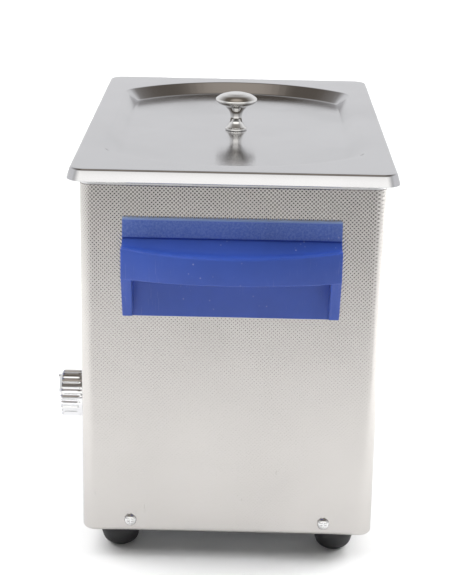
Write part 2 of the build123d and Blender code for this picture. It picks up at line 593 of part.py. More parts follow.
# ---- basket ----
def basket_tray():
    """Open-topped basket tray with a thicker rim and four short legs."""
    tray = slab(BASKET_L, BASKET_W, BASKET_R, BASKET_FLOOR, BASKET_TOP)
    tray -= slab(BASKET_L - 2, BASKET_W - 2, BASKET_R - 1, BASKET_FLOOR + 1, BASKET_TOP + 1)
    out = 2 * BASKET_RIM
    rim = slab(BASKET_L + out, BASKET_W + out, BASKET_R + BASKET_RIM, BASKET_TOP - 3, BASKET_TOP)
    tray += rim - slab(BASKET_L - 1, BASKET_W - 1, BASKET_R - 0.5, BASKET_TOP - 4, BASKET_TOP + 1)
    for sx in (-1, 1):
        for sy in (-1, 1):
            x, y = sx * LEG_X, sy * LEG_Y
            tray += rod(LEG_R, (x, y, TANK_FLOOR + LEG_CLEAR), (x, y, BASKET_FLOOR + 0.5))
    return tray


def basket_bail(side):
    """Wire carrying loop that stands up at one end of the basket."""
    x = side * (BASKET_L / 2 - 2.6)
    low = BASKET_TOP - 14
    points = [(x, -BAIL_Y, low), (x, -BAIL_Y, BAIL_TOP), (x, BAIL_Y, BAIL_TOP), (x, BAIL_Y, low)]
    return lead(BAIL_R, points, 6)


# ---- wiring ----
def mains_lead(i):
    """Lead from one inlet blade down to the terminal strip."""
    x, z = BLADES[i]
    y, drop = BACK - 27, PAN_FLOOR + SHEET + TERMINAL_H
    end_x, end_y = TERMINAL_X + i * TERMINAL_STEP, TERMINAL_Y
    return lead(1.2, [(x, y, z), (x, y - 14, z), (end_x, end_y - 22 + i * 3, z + 8),
                      (end_x, end_y, z + 8 - i), (end_x, end_y, drop)], 4)


def transducer_lead(x):
    """Lead from a transducer's tab to the board."""
    side = 1 if x > 0 else -1
    level, y, end_x = ring_level(1) + FOIL_T / 2, TAB_END, x - side * 12
    return lead(1.0, [(x, y, level), (x, y + 9, level), (x, y + 9, 60),
                      (end_x, 38, 44), (end_x, 38, BOARD_TOP)], 5)


def capillary():
    """Thermostat sensing bulb under the tank with its capillary tube."""
    y, z = BULB_Y, TANK_UNDER - BULB_R - 0.1
    bulb = rod(BULB_R, (BULB_FROM, y, z), (BULB_TO, y, z))
    tube = lead(0.9, [(BULB_FROM, y, z), (BULB_FROM - 12, y, z), (-116, y - 6, 104),
                      (-116, y - 14, 86), (-94, y - 16, DIAL_Z)], 4)
    return bulb + tube


def build():
    """Make every piece and write its node."""
    os.makedirs("parts", exist_ok=True)
    write("casing_shell", casing_shell())
    write("base_pan", base_pan())
    write("tank_basin", tank_basin())
    write("rim_seal", rim_seal())
    for place, (x, y) in FEET.items():
        write(f"foot_{place}", foot(x, y))
    write("foot_studs", *[foot_stud(x, y) for x, y in FEET.values()])
    write("foot_nuts", *[foot_nut(x, y) for x, y in FEET.values()])
    write("casing_screws", *[
        pan_head(3.5, 2.4, 1.9, 6.0, (s * CASE_L / 2, y, CASE_SCREW_Z), (-s, 0, 0))
        for s in (-1, 1) for y in (-CASE_SCREW_Y, CASE_SCREW_Y)])
    write("handle_right", handle(1))
    write("handle_left", handle(-1))
    inside = CASE_L / 2 - SHEET
    write("handle_screws", *[pan_head(3.5, 2.4, 1.75, 9.5, (s * inside, y, BOSS_Z), (s, 0, 0))
                             for s in (-1, 1) for y in (-BOSS_Y, BOSS_Y)])
    write("control_overlay", control_overlay())
    write("timer_case", dial_case(DIAL_X, 44, 44, 30))
    write("timer_shaft", dial_shaft(DIAL_X, FRONT + SHEET + 23.5))
    write("timer_knob", dial_knob(DIAL_X))
    write("thermostat_case", dial_case(-DIAL_X, 36, 36, 26))
    write("thermostat_shaft", dial_shaft(-DIAL_X, FRONT + SHEET + 19.5))
    write("temperature_knob", dial_knob(-DIAL_X))
    write("dial_fixing_screws", *[dial_screw(s * DIAL_X + dx)
                                  for s in (-1, 1) for dx in (-FIXING_X, FIXING_X)])
    write("switch_housing", switch_housing())
    write("power_rocker", power_rocker())
    write("lamp_bezels", *[lamp(x, False) for x in (-LAMP_X, LAMP_X)])
    write("power_lamp_lens", lamp(-LAMP_X, True))
    write("heating_lamp_lens", lamp(LAMP_X, True))
    write("power_inlet", power_inlet())
    write("inlet_blades", *[blade(x, z, BACK - 27, BACK - 2.6) for x, z in BLADES])
    write("inlet_screws", *[
        pan_head(2.9, 1.8, 1.6, 6.0, (INLET_X + dx, BACK + INLET_FLANGE, INLET_Z), (0, -1, 0))
        for dx in (-INLET_SCREW_X, INLET_SCREW_X)])
    for place, x in (("left", -TRANSDUCER_X), ("right", TRANSDUCER_X)):
        for piece, solids in transducer(x).items():
            write(f"transducer_{place}_{piece}", *solids)
    write("transducer_leads", *[transducer_lead(s * TRANSDUCER_X) for s in (-1, 1)])
    write("heater_pad_front", heater_pad(-1))
    write("heater_pad_rear", heater_pad(1))
    write("thermal_cutout", thermal_cutout())
    write("thermostat_capillary", capillary())
    write("generator_board", generator_board())
    write("board_standoffs", *[standoff(x, y) for x, y in standoff_places()])
    write("board_screws", *[pan_head(2.7, 1.8, 1.45, 7.0, (x, y, BOARD_TOP), (0, 0, -1))
                            for x, y in standoff_places()])
    write("heat_sinks", heat_sink(-SINK_X), heat_sink(SINK_X))
    write("power_transistors", power_transistor(-SINK_X), power_transistor(SINK_X))
    write("transformer_core", output_transformer())
    write("transformer_winding", transformer_winding())
    write("filter_capacitors", *[capacitor(x, y) for x, y in CANS])
    write("terminal_block", terminal_block())
    write("mains_leads", *[mains_lead(i) for i in range(3)])
    write("lid_pan", lid_pan())
    write("lid_knob", lid_knob())
    write("lid_knob_screw", pan_head(4.2, 1.8, LID_SCREW_R, 9.5, (0, 0, LID_FLOOR - SHEET), (0, 0, 1)))
    write("basket_tray", basket_tray())
    write("basket_bails", basket_bail(-1), basket_bail(1))


build()
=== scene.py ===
"""Looks of a bench-top ultrasonic cleaner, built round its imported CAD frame.

Sizes in the classes are millimetres, and meshes are made in metres in the CAD frame: +Z up, the long
side along X, the control side facing -Y.
"""

import logging
from dataclasses import dataclass
from enum import Enum
from math import acos, atan2, cos, hypot, pi, radians, sin, tan
from typing import Callable, Sequence

import bmesh
import bpy
import numpy as np
from mathutils import Matrix, Vector


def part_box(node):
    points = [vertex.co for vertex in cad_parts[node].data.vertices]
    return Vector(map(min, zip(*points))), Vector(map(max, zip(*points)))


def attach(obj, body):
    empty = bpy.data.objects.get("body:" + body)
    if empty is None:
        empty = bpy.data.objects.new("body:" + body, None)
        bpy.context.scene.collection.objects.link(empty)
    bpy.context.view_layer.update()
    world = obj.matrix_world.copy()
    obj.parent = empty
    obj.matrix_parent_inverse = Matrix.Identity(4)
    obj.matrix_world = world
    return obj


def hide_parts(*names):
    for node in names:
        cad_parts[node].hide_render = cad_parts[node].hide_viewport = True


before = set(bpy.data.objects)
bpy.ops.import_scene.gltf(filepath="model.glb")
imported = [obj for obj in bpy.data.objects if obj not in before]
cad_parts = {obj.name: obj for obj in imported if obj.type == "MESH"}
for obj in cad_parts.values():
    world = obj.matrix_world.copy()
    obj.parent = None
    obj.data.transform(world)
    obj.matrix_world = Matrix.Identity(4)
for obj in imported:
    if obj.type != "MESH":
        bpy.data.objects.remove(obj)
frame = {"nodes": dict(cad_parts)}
LOG = logging.getLogger("cleaner")

MM = 0.001
Point = tuple[float, float]
Place = tuple[float, float, float]
Colour = tuple[float, float, float]


# ------------------------------------------------------------------ profiles and outlines
def rounded_line(points: Sequence[Point], radii: Sequence[float], steps: int = 6) -> list[Point]:
    """Round the inner corners of an open line.

    Args:
        points: Corners of the line, with its two ends.
        radii: One radius for each inner corner; 0 leaves it sharp.
        steps: Pieces in each rounding.

    Returns:
        The points of the rounded line.
    """
    line = [points[0]]
    for before, corner, after, radius in zip(points, points[1:], points[2:], radii):
        p, a, b = Vector(corner), Vector(before), Vector(after)
        u, v = (a - p).normalized(), (b - p).normalized()
        half = acos(max(-1.0, min(1.0, u.dot(v)))) / 2
        if radius <= 0 or half > pi / 2 - 1e-3:
            line.append(corner)
            continue
        reach = min(radius / tan(half), 0.49 * min((a - p).length, (b - p).length))
        centre = p + (u + v).normalized() * (reach / cos(half))
        start, end = p + u * reach - centre, p + v * reach - centre
        first = atan2(start.y, start.x)
        turn = (atan2(end.y, end.x) - first + pi) % (2 * pi) - pi
        for i in range(steps + 1):
            angle = first + turn * i / steps
            line.append((centre.x + start.length * cos(angle), centre.y + start.length * sin(angle)))
    line.append(points[-1])
    return line


def arc_points(centre: Point, radius: float, first: float, last: float, count: int) -> list[Point]:
    """Points along an arc, its angles in radians."""
    steps = [first + (last - first) * i / (count - 1) for i in range(count)]
    return [(centre[0] + radius * cos(a), centre[1] + radius * sin(a)) for a in steps]


@dataclass(frozen=True)
class RoundedRectangle:
    """Plan outline with equal corner radii.

    Attributes:
        half_x: Half of its length.
        half_y: Half of its width.
        radius: Corner radius.
    """

    half_x: float
    half_y: float
    radius: float

    def quarter(self, inset: float, count: int) -> list[Point]:
        """Points of the first quadrant, drawn in by inset."""
        radius = max(self.radius - inset, 0.4)
        centre = (self.half_x - inset - radius, self.half_y - inset - radius)
        side = [(self.half_x - inset, centre[1] * i / count) for i in range(count)]
        top = [(centre[0] * (1 - i / count), self.half_y - inset) for i in range(1, count + 1)]
        return side + arc_points(centre, radius, 0, pi / 2, count) + top


@dataclass(frozen=True)
class BowedOutline:
    """Plan outline with straight long sides and bowed ends.

    Attributes:
        half: Half of the width between the straight sides.
        arc: Radius of the bowed ends.
        centre: Distance of each bow's centre from the middle.
        corner: Radius where a bow meets a side.
    """

    half: float
    arc: float
    centre: float
    corner: float

    def quarter(self, inset: float, count: int) -> list[Point]:
        """Points of the first quadrant, drawn in by inset."""
        half, arc, corner = self.half - inset, self.arc - inset, self.corner - inset
        reach = ((arc - corner) ** 2 - (half - corner) ** 2) ** 0.5
        middle = (self.centre + reach, half - corner)
        turn = atan2(middle[1], reach)
        bow = arc_points((self.centre, 0), arc, 0, turn, count)
        bend = arc_points(middle, corner, turn, pi / 2, count)
        top = [(middle[0] * (1 - i / count), half) for i in range(1, count + 1)]
        return bow + bend[1:] + top


def polar(outline: RoundedRectangle | BowedOutline, inset: float, count: int = 60) -> np.ndarray:
    """Outline as (angle, radius) rows over the first quadrant."""
    points = np.array(outline.quarter(inset, count))
    angles = np.arctan2(points[:, 1], points[:, 0])
    return np.stack([angles, np.hypot(points[:, 0], points[:, 1])])


def shared_angles(*outlines: RoundedRectangle | BowedOutline) -> np.ndarray:
    """Angles round the middle that suit the corners of every outline."""
    quarter = np.concatenate([polar(o, 0, 14)[0] for o in outlines])
    quarter = np.unique(np.round(np.clip(quarter, 0, pi / 2), 4))
    half = np.concatenate([quarter, pi - quarter[::-1]])
    return np.unique(np.round(np.concatenate([half, half + pi]) % (2 * pi), 4))


def outline_loop(outline: RoundedRectangle | BowedOutline, inset: float, level: float,
                 angles: np.ndarray) -> list[Place]:
    """Closed loop of an outline at a level.

    Args:
        outline: The plan outline.
        inset: How far it is drawn in.
        level: Its height.
        angles: Angles of its points round the middle.

    Returns:
        One point for each angle.
    """
    known = polar(outline, inset)
    folded = np.abs((angles + pi / 2) % pi - pi / 2)
    radii = np.interp(folded, known[0], known[1])
    return [(r * cos(a), r * sin(a), level) for a, r in zip(angles, radii)]


def ring_loop(radius: float, level: float, angles: np.ndarray) -> list[Place]:
    """Closed round loop at a level."""
    return [(radius * cos(a), radius * sin(a), level) for a in angles]


# ------------------------------------------------------------------ mesh making
def mesh_piece(name: str, vertices: Sequence[Place], faces: Sequence[Sequence[int]],
               smooth: float = 32.0) -> bpy.types.Object:
    """Make a mesh object from points in millimetres.

    Args:
        name: Name of the piece.
        vertices: Its points.
        faces: Its faces.
        smooth: Angle in degrees above which an edge stays sharp.

    Returns:
        The object, with outward normals.
    """
    mesh = bpy.data.meshes.new(name)
    mesh.from_pydata([Vector(v) * MM for v in vertices], [], faces)
    work = bmesh.new()
    work.from_mesh(mesh)
    bmesh.ops.remove_doubles(work, verts=work.verts, dist=1e-7)
    bmesh.ops.dissolve_degenerate(work, edges=work.edges, dist=1e-8)
    bmesh.ops.recalc_face_normals(work, faces=work.faces)
    work.to_mesh(mesh)
    work.free()
    piece = bpy.data.objects.new(name, mesh)
    bpy.context.scene.collection.objects.link(piece)
    smoothed(piece, smooth)
    return piece


def smoothed(piece: bpy.types.Object, angle: float = 32.0) -> bpy.types.Object:
    """Shade a piece smooth, but for edges sharper than an angle in degrees."""
    piece.data.polygons.foreach_set("use_smooth", [True] * len(piece.data.polygons))
    piece.data.set_sharp_from_angle(angle=radians(angle))
    return piece


def loft(loops: Sequence[Sequence[Place]], closed: bool = False, caps: bool = True
         ) -> tuple[list[Place], list[list[int]]]:
    """Skin a row of closed loops.

    Args:
        loops: Loops with equal numbers of points.
        closed: Whether the last loop joins the first.
        caps: Whether the end loops are filled.

    Returns:
        Points and faces.
    """
    count = len(loops[0])
    points = [p for loop in loops for p in loop]
    faces = []
    rows = len(loops) if closed else len(loops) - 1
    for row in range(rows):
        low, high = row * count, (row + 1) % len(loops) * count
        for i in range(count):
            j = (i + 1) % count
            faces.append([low + i, low + j, high + j, high + i])
    if caps and not closed:
        faces.append(list(range(count))[::-1])
        faces.append([(len(loops) - 1) * count + i for i in range(count)])
    return points, faces


class Axis(Enum):
    """Which way a turned piece's axis points, as the frame it is turned in."""

    UP = Matrix.Identity(3)
    FRONT = Matrix(((1, 0, 0), (0, 0, -1), (0, 1, 0)))
    RIGHT = Matrix(((0, 0, 1), (1, 0, 0), (0, 1, 0)))


def turned(profile: Sequence[Point], count: int = 64,
           shape: Callable[[float, float, float], float] | None = None
           ) -> tuple[list[Place], list[list[int]]]:
    """Turn a profile of (radius, height) about the local Z axis.

    Args:
        profile: From the axis out and back to it.
        count: Points round the axis.
        shape: Optional change of radius, from angle, radius and height.

    Returns:
        Points and faces.
    """
    loops = []
    for radius, height in profile:
        loop = []
        for i in range(count):
            a = 2 * pi * i / count
            r = shape(a, radius, height) if shape else radius
            loop.append((max(r, 1e-4) * cos(a), max(r, 1e-4) * sin(a), height))
        loops.append(loop)
    return loft(loops)


def placed(part: tuple[list[Place], list[list[int]]], axis: Axis, at: Place
           ) -> tuple[list[Place], list[list[int]]]:
    """Stand a part on its axis at a place."""
    points, faces = part
    return [tuple(axis.value @ Vector(p) + Vector(at)) for p in points], faces


def merged(*parts: tuple[list[Place], list[list[int]]]) -> tuple[list[Place], list[list[int]]]:
    """Put several parts in one list of points and faces."""
    points, faces = [], []
    for some, more in parts:
        base = len(points)
        points += some
        faces += [[base + i for i in face] for face in more]
    return points, faces


def block(low: Place, high: Place) -> tuple[list[Place], list[list[int]]]:
    """Box between two corners."""
    x, y, z = zip(low, high)
    loops = [[(x[0], y[0], h), (x[1], y[0], h), (x[1], y[1], h), (x[0], y[1], h)] for h in z]
    return loft(loops)


def bevelled(piece: bpy.types.Object, width: float, segments: int = 3,
             angle: float = 40.0) -> bpy.types.Object:
    """Round a piece's edges and keep the result as plain mesh.

    Args:
        piece: The piece.
        width: Width of the rounding.
        segments: Faces across it.
        angle: Least angle in degrees of an edge that is rounded.

    Returns:
        The piece.
    """
    tool = piece.modifiers.new("bevel", "BEVEL")
    tool.width, tool.segments, tool.limit_method = width * MM, segments, "ANGLE"
    tool.angle_limit = radians(angle)
    tool.harden_normals = False
    return settled(piece)


def settled(piece: bpy.types.Object) -> bpy.types.Object:
    """Turn a piece and its modifiers into plain mesh."""
    graph = bpy.context.evaluated_depsgraph_get()
    mesh = bpy.data.meshes.new_from_object(piece.evaluated_get(graph))
    piece.modifiers.clear()
    old = piece.data
    piece.data = mesh
    if isinstance(old, bpy.types.Mesh):
        bpy.data.meshes.remove(old)
    mesh.name = piece.name
    return smoothed(piece)


def united(base: bpy.types.Object, *others: bpy.types.Object) -> bpy.types.Object:
    """Join solids into one closed piece and remove the others."""
    for other in others:
        tool = base.modifiers.new("unite", "BOOLEAN")
        tool.operation, tool.solver, tool.object = "UNION", "EXACT", other
    settled(base)
    for other in others:
        bpy.data.objects.remove(other)
    return base


def joined(base: bpy.types.Object, other: bpy.types.Object) -> bpy.types.Object:
    """Put a second closed shell into a piece, as it is, and remove the other."""
    shells = bmesh.new()
    for piece in (base, other):
        shells.from_mesh(settled(piece).data)
    shells.to_mesh(base.data)
    shells.free()
    bpy.data.objects.remove(other)
    return smoothed(base, 38)


# ------------------------------------------------------------------ node trees
class Wiring:
    """Short-hand for adding and linking the nodes of one tree."""

    def __init__(self, tree: bpy.types.NodeTree) -> None:
        """Keep the tree that is wired."""
        self.tree = tree

    def add(self, kind: str, inputs: dict | None = None, **settings: object) -> bpy.types.Node:
        """Add a node.

        Args:
            kind: Its type name.
            inputs: Values or sockets for its inputs, by name or number.
            **settings: Its properties.

        Returns:
            The node.
        """
        node = self.tree.nodes.new(kind)
        for key, value in settings.items():
            setattr(node, key, value)
        for key, value in (inputs or {}).items():
            self.feed(node.inputs[key], value)
        return node

    def feed(self, socket: bpy.types.NodeSocket, value: object) -> None:
        """Link a socket into an input, or set the input's value."""
        if isinstance(value, bpy.types.NodeSocket):
            self.tree.links.new(value, socket)
        else:
            socket.default_value = value

    def maths(self, operation: str, *values: object) -> bpy.types.NodeSocket:
        """Result of a math node over sockets or numbers."""
        kind = "ShaderNodeMath"
        return self.add(kind, dict(enumerate(values)), operation=operation).outputs[0]

    def spread(self, value: object, low: float, high: float, to_low: float, to_high: float
               ) -> bpy.types.NodeSocket:
        """Map a value from one range to another."""
        inputs = {0: value, 1: low, 2: high, 3: to_low, 4: to_high}
        return self.add("ShaderNodeMapRange", inputs).outputs[0]

    def noise(self, where: bpy.types.NodeSocket, scale: float, detail: float = 3.0,
              roughness: float = 0.5) -> bpy.types.NodeSocket:
        """Noise factor at a place."""
        inputs = {"Vector": where, "Scale": scale, "Detail": detail, "Roughness": roughness}
        return self.add("ShaderNodeTexNoise", inputs).outputs["Fac"]

    def blend(self, factor: object, first: object, second: object) -> bpy.types.NodeSocket:
        """Colour between two colours."""
        node = self.add("ShaderNodeMix", data_type="RGBA")
        self.feed(node.inputs["Factor"], factor)
        self.feed(node.inputs[6], first)
        self.feed(node.inputs[7], second)
        return node.outputs[2]


def shader_group(name: str, inputs: dict[str, float], outputs: Sequence[str],
                 wire: Callable[[Wiring, bpy.types.Node, bpy.types.Node], None]
                 ) -> bpy.types.NodeTree:
    """Build a shader group once.

    Args:
        name: Its name.
        inputs: Float inputs with their usual values.
        outputs: Float outputs.
        wire: Fills it, given the wiring and its input and output nodes.

    Returns:
        The group.
    """
    found = bpy.data.node_groups.get(name)
    if found:
        return found
    tree = bpy.data.node_groups.new(name, "ShaderNodeTree")
    for label, value in inputs.items():
        socket = tree.interface.new_socket(name=label, in_out="INPUT", socket_type="NodeSocketFloat")
        socket.default_value = value
    for label in outputs:
        tree.interface.new_socket(name=label, in_out="OUTPUT", socket_type="NodeSocketFloat")
    wiring = Wiring(tree)
    wire(wiring, wiring.add("NodeGroupInput"), wiring.add("NodeGroupOutput"))
    return tree


def object_place(w: Wiring) -> bpy.types.NodeSocket:
    """Object coordinates, in metres."""
    return w.add("ShaderNodeTexCoord").outputs["Object"]


def handling_marks() -> bpy.types.NodeTree:
    """Group: cloudy smudges, fine dust specks and scratches, as masks."""
    def wire(w: Wiring, given: bpy.types.Node, out: bpy.types.Node) -> None:
        place = object_place(w)
        cloud = w.noise(place, 14.0, 4.0, 0.62)
        w.feed(out.inputs["Smudge"], w.maths("MULTIPLY", w.spread(cloud, 0.42, 0.68, 0, 1),
                                             given.outputs["Smudge"]))
        speck = w.add("ShaderNodeTexVoronoi", {"Vector": place, "Scale": 260.0}).outputs["Distance"]
        sparse = w.spread(w.noise(place, 60.0, 2.0), 0.56, 0.66, 0, 1)
        dots = w.maths("MULTIPLY", w.spread(speck, 0.16, 0.05, 0, 1), sparse)
        w.feed(out.inputs["Dust"], w.maths("MULTIPLY", dots, given.outputs["Dust"]))
        turn = w.add("ShaderNodeMapping", {"Vector": place, "Rotation": (0.5, 0.7, 0.35),
                                           "Scale": (18.0, 420.0, 18.0)}).outputs[0]
        hair = w.spread(w.noise(turn, 6.0, 2.0, 0.4), 0.66, 0.72, 0, 1)
        where = w.spread(w.noise(place, 22.0, 2.0), 0.5, 0.65, 0, 1)
        lines = w.maths("MULTIPLY", hair, where)
        w.feed(out.inputs["Scratch"], w.maths("MULTIPLY", lines, given.outputs["Scratch"]))

    return shader_group("handling_marks", {"Smudge": 1.0, "Dust": 1.0, "Scratch": 1.0},
                        ("Smudge", "Dust", "Scratch"), wire)


def linen_emboss() -> bpy.types.NodeTree:
    """Group: height of a small diamond emboss that runs round upright walls."""
    def wire(w: Wiring, given: bpy.types.Node, out: bpy.types.Node) -> None:
        axes = w.add("ShaderNodeSeparateXYZ", {0: object_place(w)}).outputs
        along = w.maths("DIVIDE", w.maths("ADD", axes[0], axes[1]), given.outputs["Pitch"])
        up = w.maths("DIVIDE", axes[2], given.outputs["Pitch"])
        waves = []
        for sign in ("ADD", "SUBTRACT"):
            phase = w.maths("MULTIPLY", w.maths(sign, along, up), 2 * pi)
            waves.append(w.maths("COSINE", phase))
        both = w.maths("ADD", waves[0], waves[1])
        w.feed(out.inputs["Height"], w.spread(both, -1.6, 1.6, 0, 1))

    return shader_group("linen_emboss", {"Pitch": 0.0022}, ("Height",), wire)


def brushed_grain() -> bpy.types.NodeTree:
    """Group: fine rolled grain, long along one axis."""
    def wire(w: Wiring, given: bpy.types.Node, out: bpy.types.Node) -> None:
        place = object_place(w)
        long = w.add("ShaderNodeMapping", {"Vector": place, "Scale": (6.0, 900.0, 900.0)}).outputs[0]
        w.feed(out.inputs["Height"], w.maths("MULTIPLY", w.noise(long, 1.0, 3.0, 0.6),
                                             given.outputs["Strength"]))

    return shader_group("brushed_grain", {"Strength": 1.0}, ("Height",), wire)


def moulded_grain() -> bpy.types.NodeTree:
    """Group: spark-eroded grain of moulded plastic."""
    def wire(w: Wiring, given: bpy.types.Node, out: bpy.types.Node) -> None:
        place = object_place(w)
        fine = w.noise(place, 1500.0, 2.0, 0.6)
        broad = w.noise(place, 300.0, 2.0, 0.5)
        w.feed(out.inputs["Height"], w.maths("MULTIPLY", w.maths("ADD", fine, broad),
                                             given.outputs["Strength"]))

    return shader_group("moulded_grain", {"Strength": 1.0}, ("Height",), wire)


def grouped(w: Wiring, tree: bpy.types.NodeTree, **values: float) -> bpy.types.Node:
    """Place a shader group with its own values."""
    node = w.add("ShaderNodeGroup", node_tree=tree)
    for label, value in values.items():
        node.inputs[label.replace("_", " ").title()].default_value = value
    return node


# ------------------------------------------------------------------ finishes
class Finish:
    """A named material that is built once."""

    name: str

    def material(self) -> bpy.types.Material:
        """Build the material, or find it again."""
        found = bpy.data.materials.get(self.name + "_finish")
        if found:
            return found
        made = bpy.data.materials.new(self.name + "_finish")
        made.use_nodes = True
        made.node_tree.nodes.clear()
        w = Wiring(made.node_tree)
        out = w.add("ShaderNodeOutputMaterial")
        surface = w.add("ShaderNodeBsdfPrincipled")
        w.feed(out.inputs["Surface"], surface.outputs[0])
        self.wire(w, surface)
        return made

    def wire(self, w: Wiring, surface: bpy.types.Node) -> None:
        """Wire the nodes that feed the surface."""
        raise NotImplementedError

    def dress(self, piece: bpy.types.Object) -> bpy.types.Object:
        """Put the material on a piece, in every slot."""
        if not piece.data.materials:
            piece.data.materials.append(self.material())
        for slot in piece.material_slots:
            slot.material = self.material()
        return piece


@dataclass(frozen=True)
class SteelFinish(Finish):
    """Sheet or bar metal.

    Attributes:
        name: Name of the finish.
        tint: Reflected colour.
        rough: Base roughness.
        smudge: Strength of cloudy handling marks.
        grain: Depth of the rolled grain in millimetres.
        emboss: Depth of the diamond emboss in millimetres.
        pitch: Pitch of the emboss in millimetres.
        cloud: How much the colour varies.
    """

    name: str
    tint: Colour
    rough: float = 0.3
    smudge: float = 1.0
    grain: float = 0.002
    emboss: float = 0.0
    pitch: float = 2.2
    cloud: float = 0.06

    def wire(self, w: Wiring, surface: bpy.types.Node) -> None:
        """Metal with smudged roughness, grain and an optional emboss."""
        marks = grouped(w, handling_marks(), smudge=self.smudge, dust=1.0, scratch=1.0)
        dark = tuple(c * (1 - self.cloud) for c in self.tint) + (1.0,)
        shade = w.noise(object_place(w), 9.0, 3.0, 0.6)
        tone = w.blend(w.spread(shade, 0.35, 0.65, 0, 1), (*self.tint, 1.0), dark)
        w.feed(surface.inputs["Base Color"], tone)
        surface.inputs["Metallic"].default_value = 1.0
        rough = w.maths("MULTIPLY_ADD", marks.outputs["Smudge"], 0.09, self.rough)
        rough = w.maths("MULTIPLY_ADD", marks.outputs["Scratch"], 0.06, rough)
        w.feed(surface.inputs["Roughness"], rough)
        grain = grouped(w, brushed_grain(), strength=1.0)
        bump = w.add("ShaderNodeBump", {"Strength": 1.0, "Distance": self.grain * MM,
                                        "Height": grain.outputs["Height"]})
        if self.emboss > 0:
            linen = grouped(w, linen_emboss(), pitch=self.pitch * MM)
            bump = w.add("ShaderNodeBump", {"Strength": 1.0, "Distance": self.emboss * MM,
                                            "Height": linen.outputs["Height"],
                                            "Normal": bump.outputs[0]})
        w.feed(surface.inputs["Normal"], bump.outputs[0])


@dataclass(frozen=True)
class PlasticFinish(Finish):
    """Moulded plastic, rubber or resin.

    Attributes:
        name: Name of the finish.
        colour: Body colour.
        rough: Base roughness.
        grain: Depth of the moulded grain in millimetres.
        worn: Strength of pale scuffs.
        gloss: Weight of a clear skin.
        painted_band_light: How much the colour is paled above a level, as painted light with a
            speckled grain; the upper edge gets a stronger painted highlight.
        painted_band_low: That level in millimetres.
        painted_highlight_low: Level in millimetres where the painted highlight on the upper edge
            starts.
    """

    name: str
    colour: Colour
    rough: float = 0.4
    grain: float = 0.01
    worn: float = 0.3
    gloss: float = 0.0
    painted_band_light: float = 0.0
    painted_band_low: float = 0.0
    painted_highlight_low: float = 0.0

    def paint_band_light(self, w: Wiring, tone: bpy.types.NodeSocket) -> bpy.types.NodeSocket:
        """Paint light on the band above a level, with a speckled grain, and a painted highlight on
        its upper edge.
        """
        place = object_place(w)
        level = w.add("ShaderNodeSeparateXYZ", {0: place}).outputs[2]
        # Band above the level: paled as painted light, making up for the shade under the lid's
        # overhang, with a speckled grain.
        band = w.spread(level, (self.painted_band_low - 0.3) * MM, (self.painted_band_low + 0.3) * MM, 0, 1)
        # Upper edge: a painted highlight where the top face catches light.
        edge = w.spread(level, self.painted_highlight_low * MM, (self.painted_highlight_low + 0.5) * MM, 0, 1)
        speckle = w.spread(w.noise(place, 900.0, 2.0, 0.7), 0.35, 0.65, 0.6, 1.4)
        mask = w.maths("MULTIPLY", w.maths("MULTIPLY", band, speckle), self.painted_band_light)
        mask = w.maths("MAXIMUM", mask, w.maths("MULTIPLY", edge, 3.6 * self.painted_band_light))
        # The pale blue stands in for light: painted light on the band, painted highlight on the edge.
        return w.blend(mask, tone, (0.52, 0.70, 1.0, 1.0))

    def wire(self, w: Wiring, surface: bpy.types.Node) -> None:
        """Coloured body with moulded grain, dust and pale scuffs, and where set a band of painted
        light.
        """
        marks = grouped(w, handling_marks(), smudge=1.0, dust=1.0, scratch=0.4)
        deep = tuple(c * 0.88 for c in self.colour) + (1.0,)
        pale = tuple(min(1.0, c * 0.5 + 0.5) for c in self.colour) + (1.0,)
        shade = w.spread(w.noise(object_place(w), 25.0, 3.0, 0.6), 0.35, 0.65, 0, 1)
        tone = w.blend(shade, (*self.colour, 1.0), deep)
        scuffs = w.maths("MAXIMUM", marks.outputs["Dust"],
                         w.maths("MULTIPLY", marks.outputs["Scratch"], 0.5))
        tone = w.blend(w.maths("MULTIPLY", scuffs, self.worn), tone, pale)
        # Painted light on the band and a painted highlight on its upper edge.
        if self.painted_band_light > 0:
            tone = self.paint_band_light(w, tone)
        w.feed(surface.inputs["Base Color"], tone)
        rough = w.maths("MULTIPLY_ADD", marks.outputs["Smudge"], 0.08, self.rough)
        w.feed(surface.inputs["Roughness"], w.maths("MULTIPLY_ADD", scuffs, 0.2, rough))
        surface.inputs["Coat Weight"].default_value = self.gloss
        grain = grouped(w, moulded_grain(), strength=1.0)
        bump = w.add("ShaderNodeBump", {"Strength": 1.0, "Distance": self.grain * MM,
                                        "Height": grain.outputs["Height"]})
        w.feed(surface.inputs["Normal"], bump.outputs[0])


@dataclass(frozen=True)
class LensFinish(Finish):
    """Clear coloured plastic of a lamp or a rocker.

    Attributes:
        name: Name of the finish.
        colour: Colour of the plastic.
        rough: Roughness.
    """

    name: str
    colour: Colour
    rough: float = 0.12

    def wire(self, w: Wiring, surface: bpy.types.Node) -> None:
        """Glossy coloured body, a little cloudy inside."""
        marks = grouped(w, handling_marks(), smudge=1.0, dust=0.6, scratch=0.6)
        cloud = w.spread(w.noise(object_place(w), 60.0, 3.0, 0.6), 0.35, 0.65, 0, 1)
        core = tuple(c * 0.75 for c in self.colour) + (1.0,)
        w.feed(surface.inputs["Base Color"], w.blend(cloud, (*self.colour, 1.0), core))
        w.feed(surface.inputs["Roughness"],
               w.maths("MULTIPLY_ADD", marks.outputs["Smudge"], 0.06, self.rough))
        surface.inputs["Coat Weight"].default_value = 0.5


